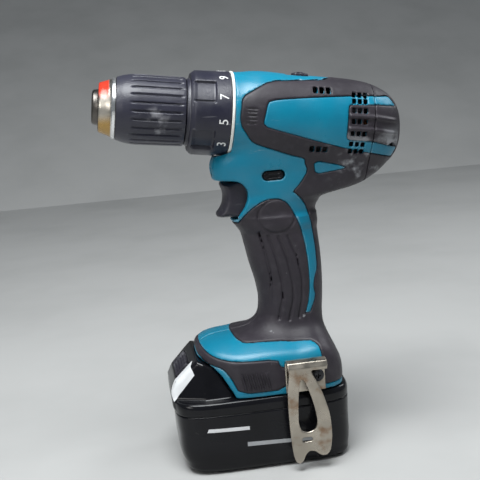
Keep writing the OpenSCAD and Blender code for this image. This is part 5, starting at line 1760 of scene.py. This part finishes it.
@dataclass
class Studio:
    """Pale floor, soft light and the camera."""

    finishes: Finishes
    turn: float = math.radians(7.3)
    dip: float = math.radians(11.3)
    roll: float = math.radians(4.6)
    distance: float = 0.562
    aim: tuple[float, float, float] = (-0.004, 0.0, 0.137)
    view_angle: float = math.radians(29.86)
    lamps: tuple[tuple, ...] = (  # name, place, aim, size, power, colour; in metres and watts
        ("sky", (-0.15, -0.3, 1.1), (0.0, 0.0, 0.15), 0.7, 20.0, (0.95, 0.98, 1.0)),
        ("front", (-0.9, -0.8, 0.6), (0.0, 0.0, 0.16), 0.45, 2.6, (1.0, 0.98, 0.95)),
        ("rear", (0.9, 0.35, 0.8), (0.05, 0.0, 0.15), 0.5, 3.5, (0.95, 0.98, 1.0)))

    def camera(self) -> None:
        """Stand the camera at the drill's left side, a little above it."""
        a, th, ro = self.turn, self.dip, self.roll
        ahead = Vector((math.sin(a) * math.cos(th), math.cos(a) * math.cos(th), -math.sin(th)))
        right0 = Vector((math.cos(a), -math.sin(a), 0.0))
        up0 = Vector((math.sin(a) * math.sin(th), math.cos(a) * math.sin(th), math.cos(th)))
        right = right0 * math.cos(ro) - up0 * math.sin(ro)
        up = up0 * math.cos(ro) + right0 * math.sin(ro)
        data = bpy.data.cameras.new("camera")
        data.sensor_width = 36.0
        data.lens = 18.0 / math.tan(self.view_angle / 2)
        data.clip_start = 0.01
        cam = stand("camera", data)
        turn = Matrix((right, up, -ahead)).transposed().to_4x4()
        cam.matrix_world = Matrix.Translation(Vector(self.aim) - ahead * self.distance) @ turn
        bpy.context.scene.camera = cam

    def lamp(self, name: str, place: Sequence[float], at: Sequence[float], size: float, power: float,
             colour: Colour) -> None:
        """Hang one soft area light."""
        data = bpy.data.lights.new(name, "AREA")
        data.shape = "DISK"
        data.size = size
        data.energy = power
        data.color = colour
        obj = stand(name, data)
        obj.location = place
        obj.rotation_euler = (Vector(at) - Vector(place)).to_track_quat("-Z", "Y").to_euler()

    def build(self) -> None:
        """Build the floor, the lights and the camera."""
        mesh = bpy.data.meshes.new("studio_floor")
        points = [(-3.0, -1.6, 0.0), (3.0, -1.6, 0.0), (3.0, 1.2, 0.0), (3.0, 2.4, 0.6), (3.0, 2.8, 2.6),
                  (-3.0, 2.8, 2.6), (-3.0, 2.4, 0.6), (-3.0, 1.2, 0.0)]
        sheets = [(0, 1, 2, 7), (7, 2, 3, 6), (6, 3, 4, 5)]
        mesh.from_pydata([(x, y, z - 0.0002) for x, y, z in points], [], sheets)
        mesh.materials.append(self.finishes.floor)
        floor = stand("studio_floor", mesh)
        world = bpy.data.worlds.new("studio_air")
        world.use_nodes = True
        air = world.node_tree.nodes["Background"]
        air.inputs["Color"].default_value = (0.72, 0.78, 0.84, 1.0)
        air.inputs["Strength"].default_value = 0.26
        bpy.context.scene.world = world
        for row in self.lamps:
            self.lamp(*row)
        bpy.context.scene.view_settings.view_transform = "Standard"
        self.camera()


def main() -> None:
    logging.basicConfig(level=logging.INFO, format="%(name)s: %(message)s")
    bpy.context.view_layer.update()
    finishes = Finishes()
    for part in (Studio, Housing, Battery, Chuck, Clutch, Controls, BeltHook, Inside):
        part(finishes).build()
        log.info("%s done", part.__name__)


if __name__ == "__main__":
    main()
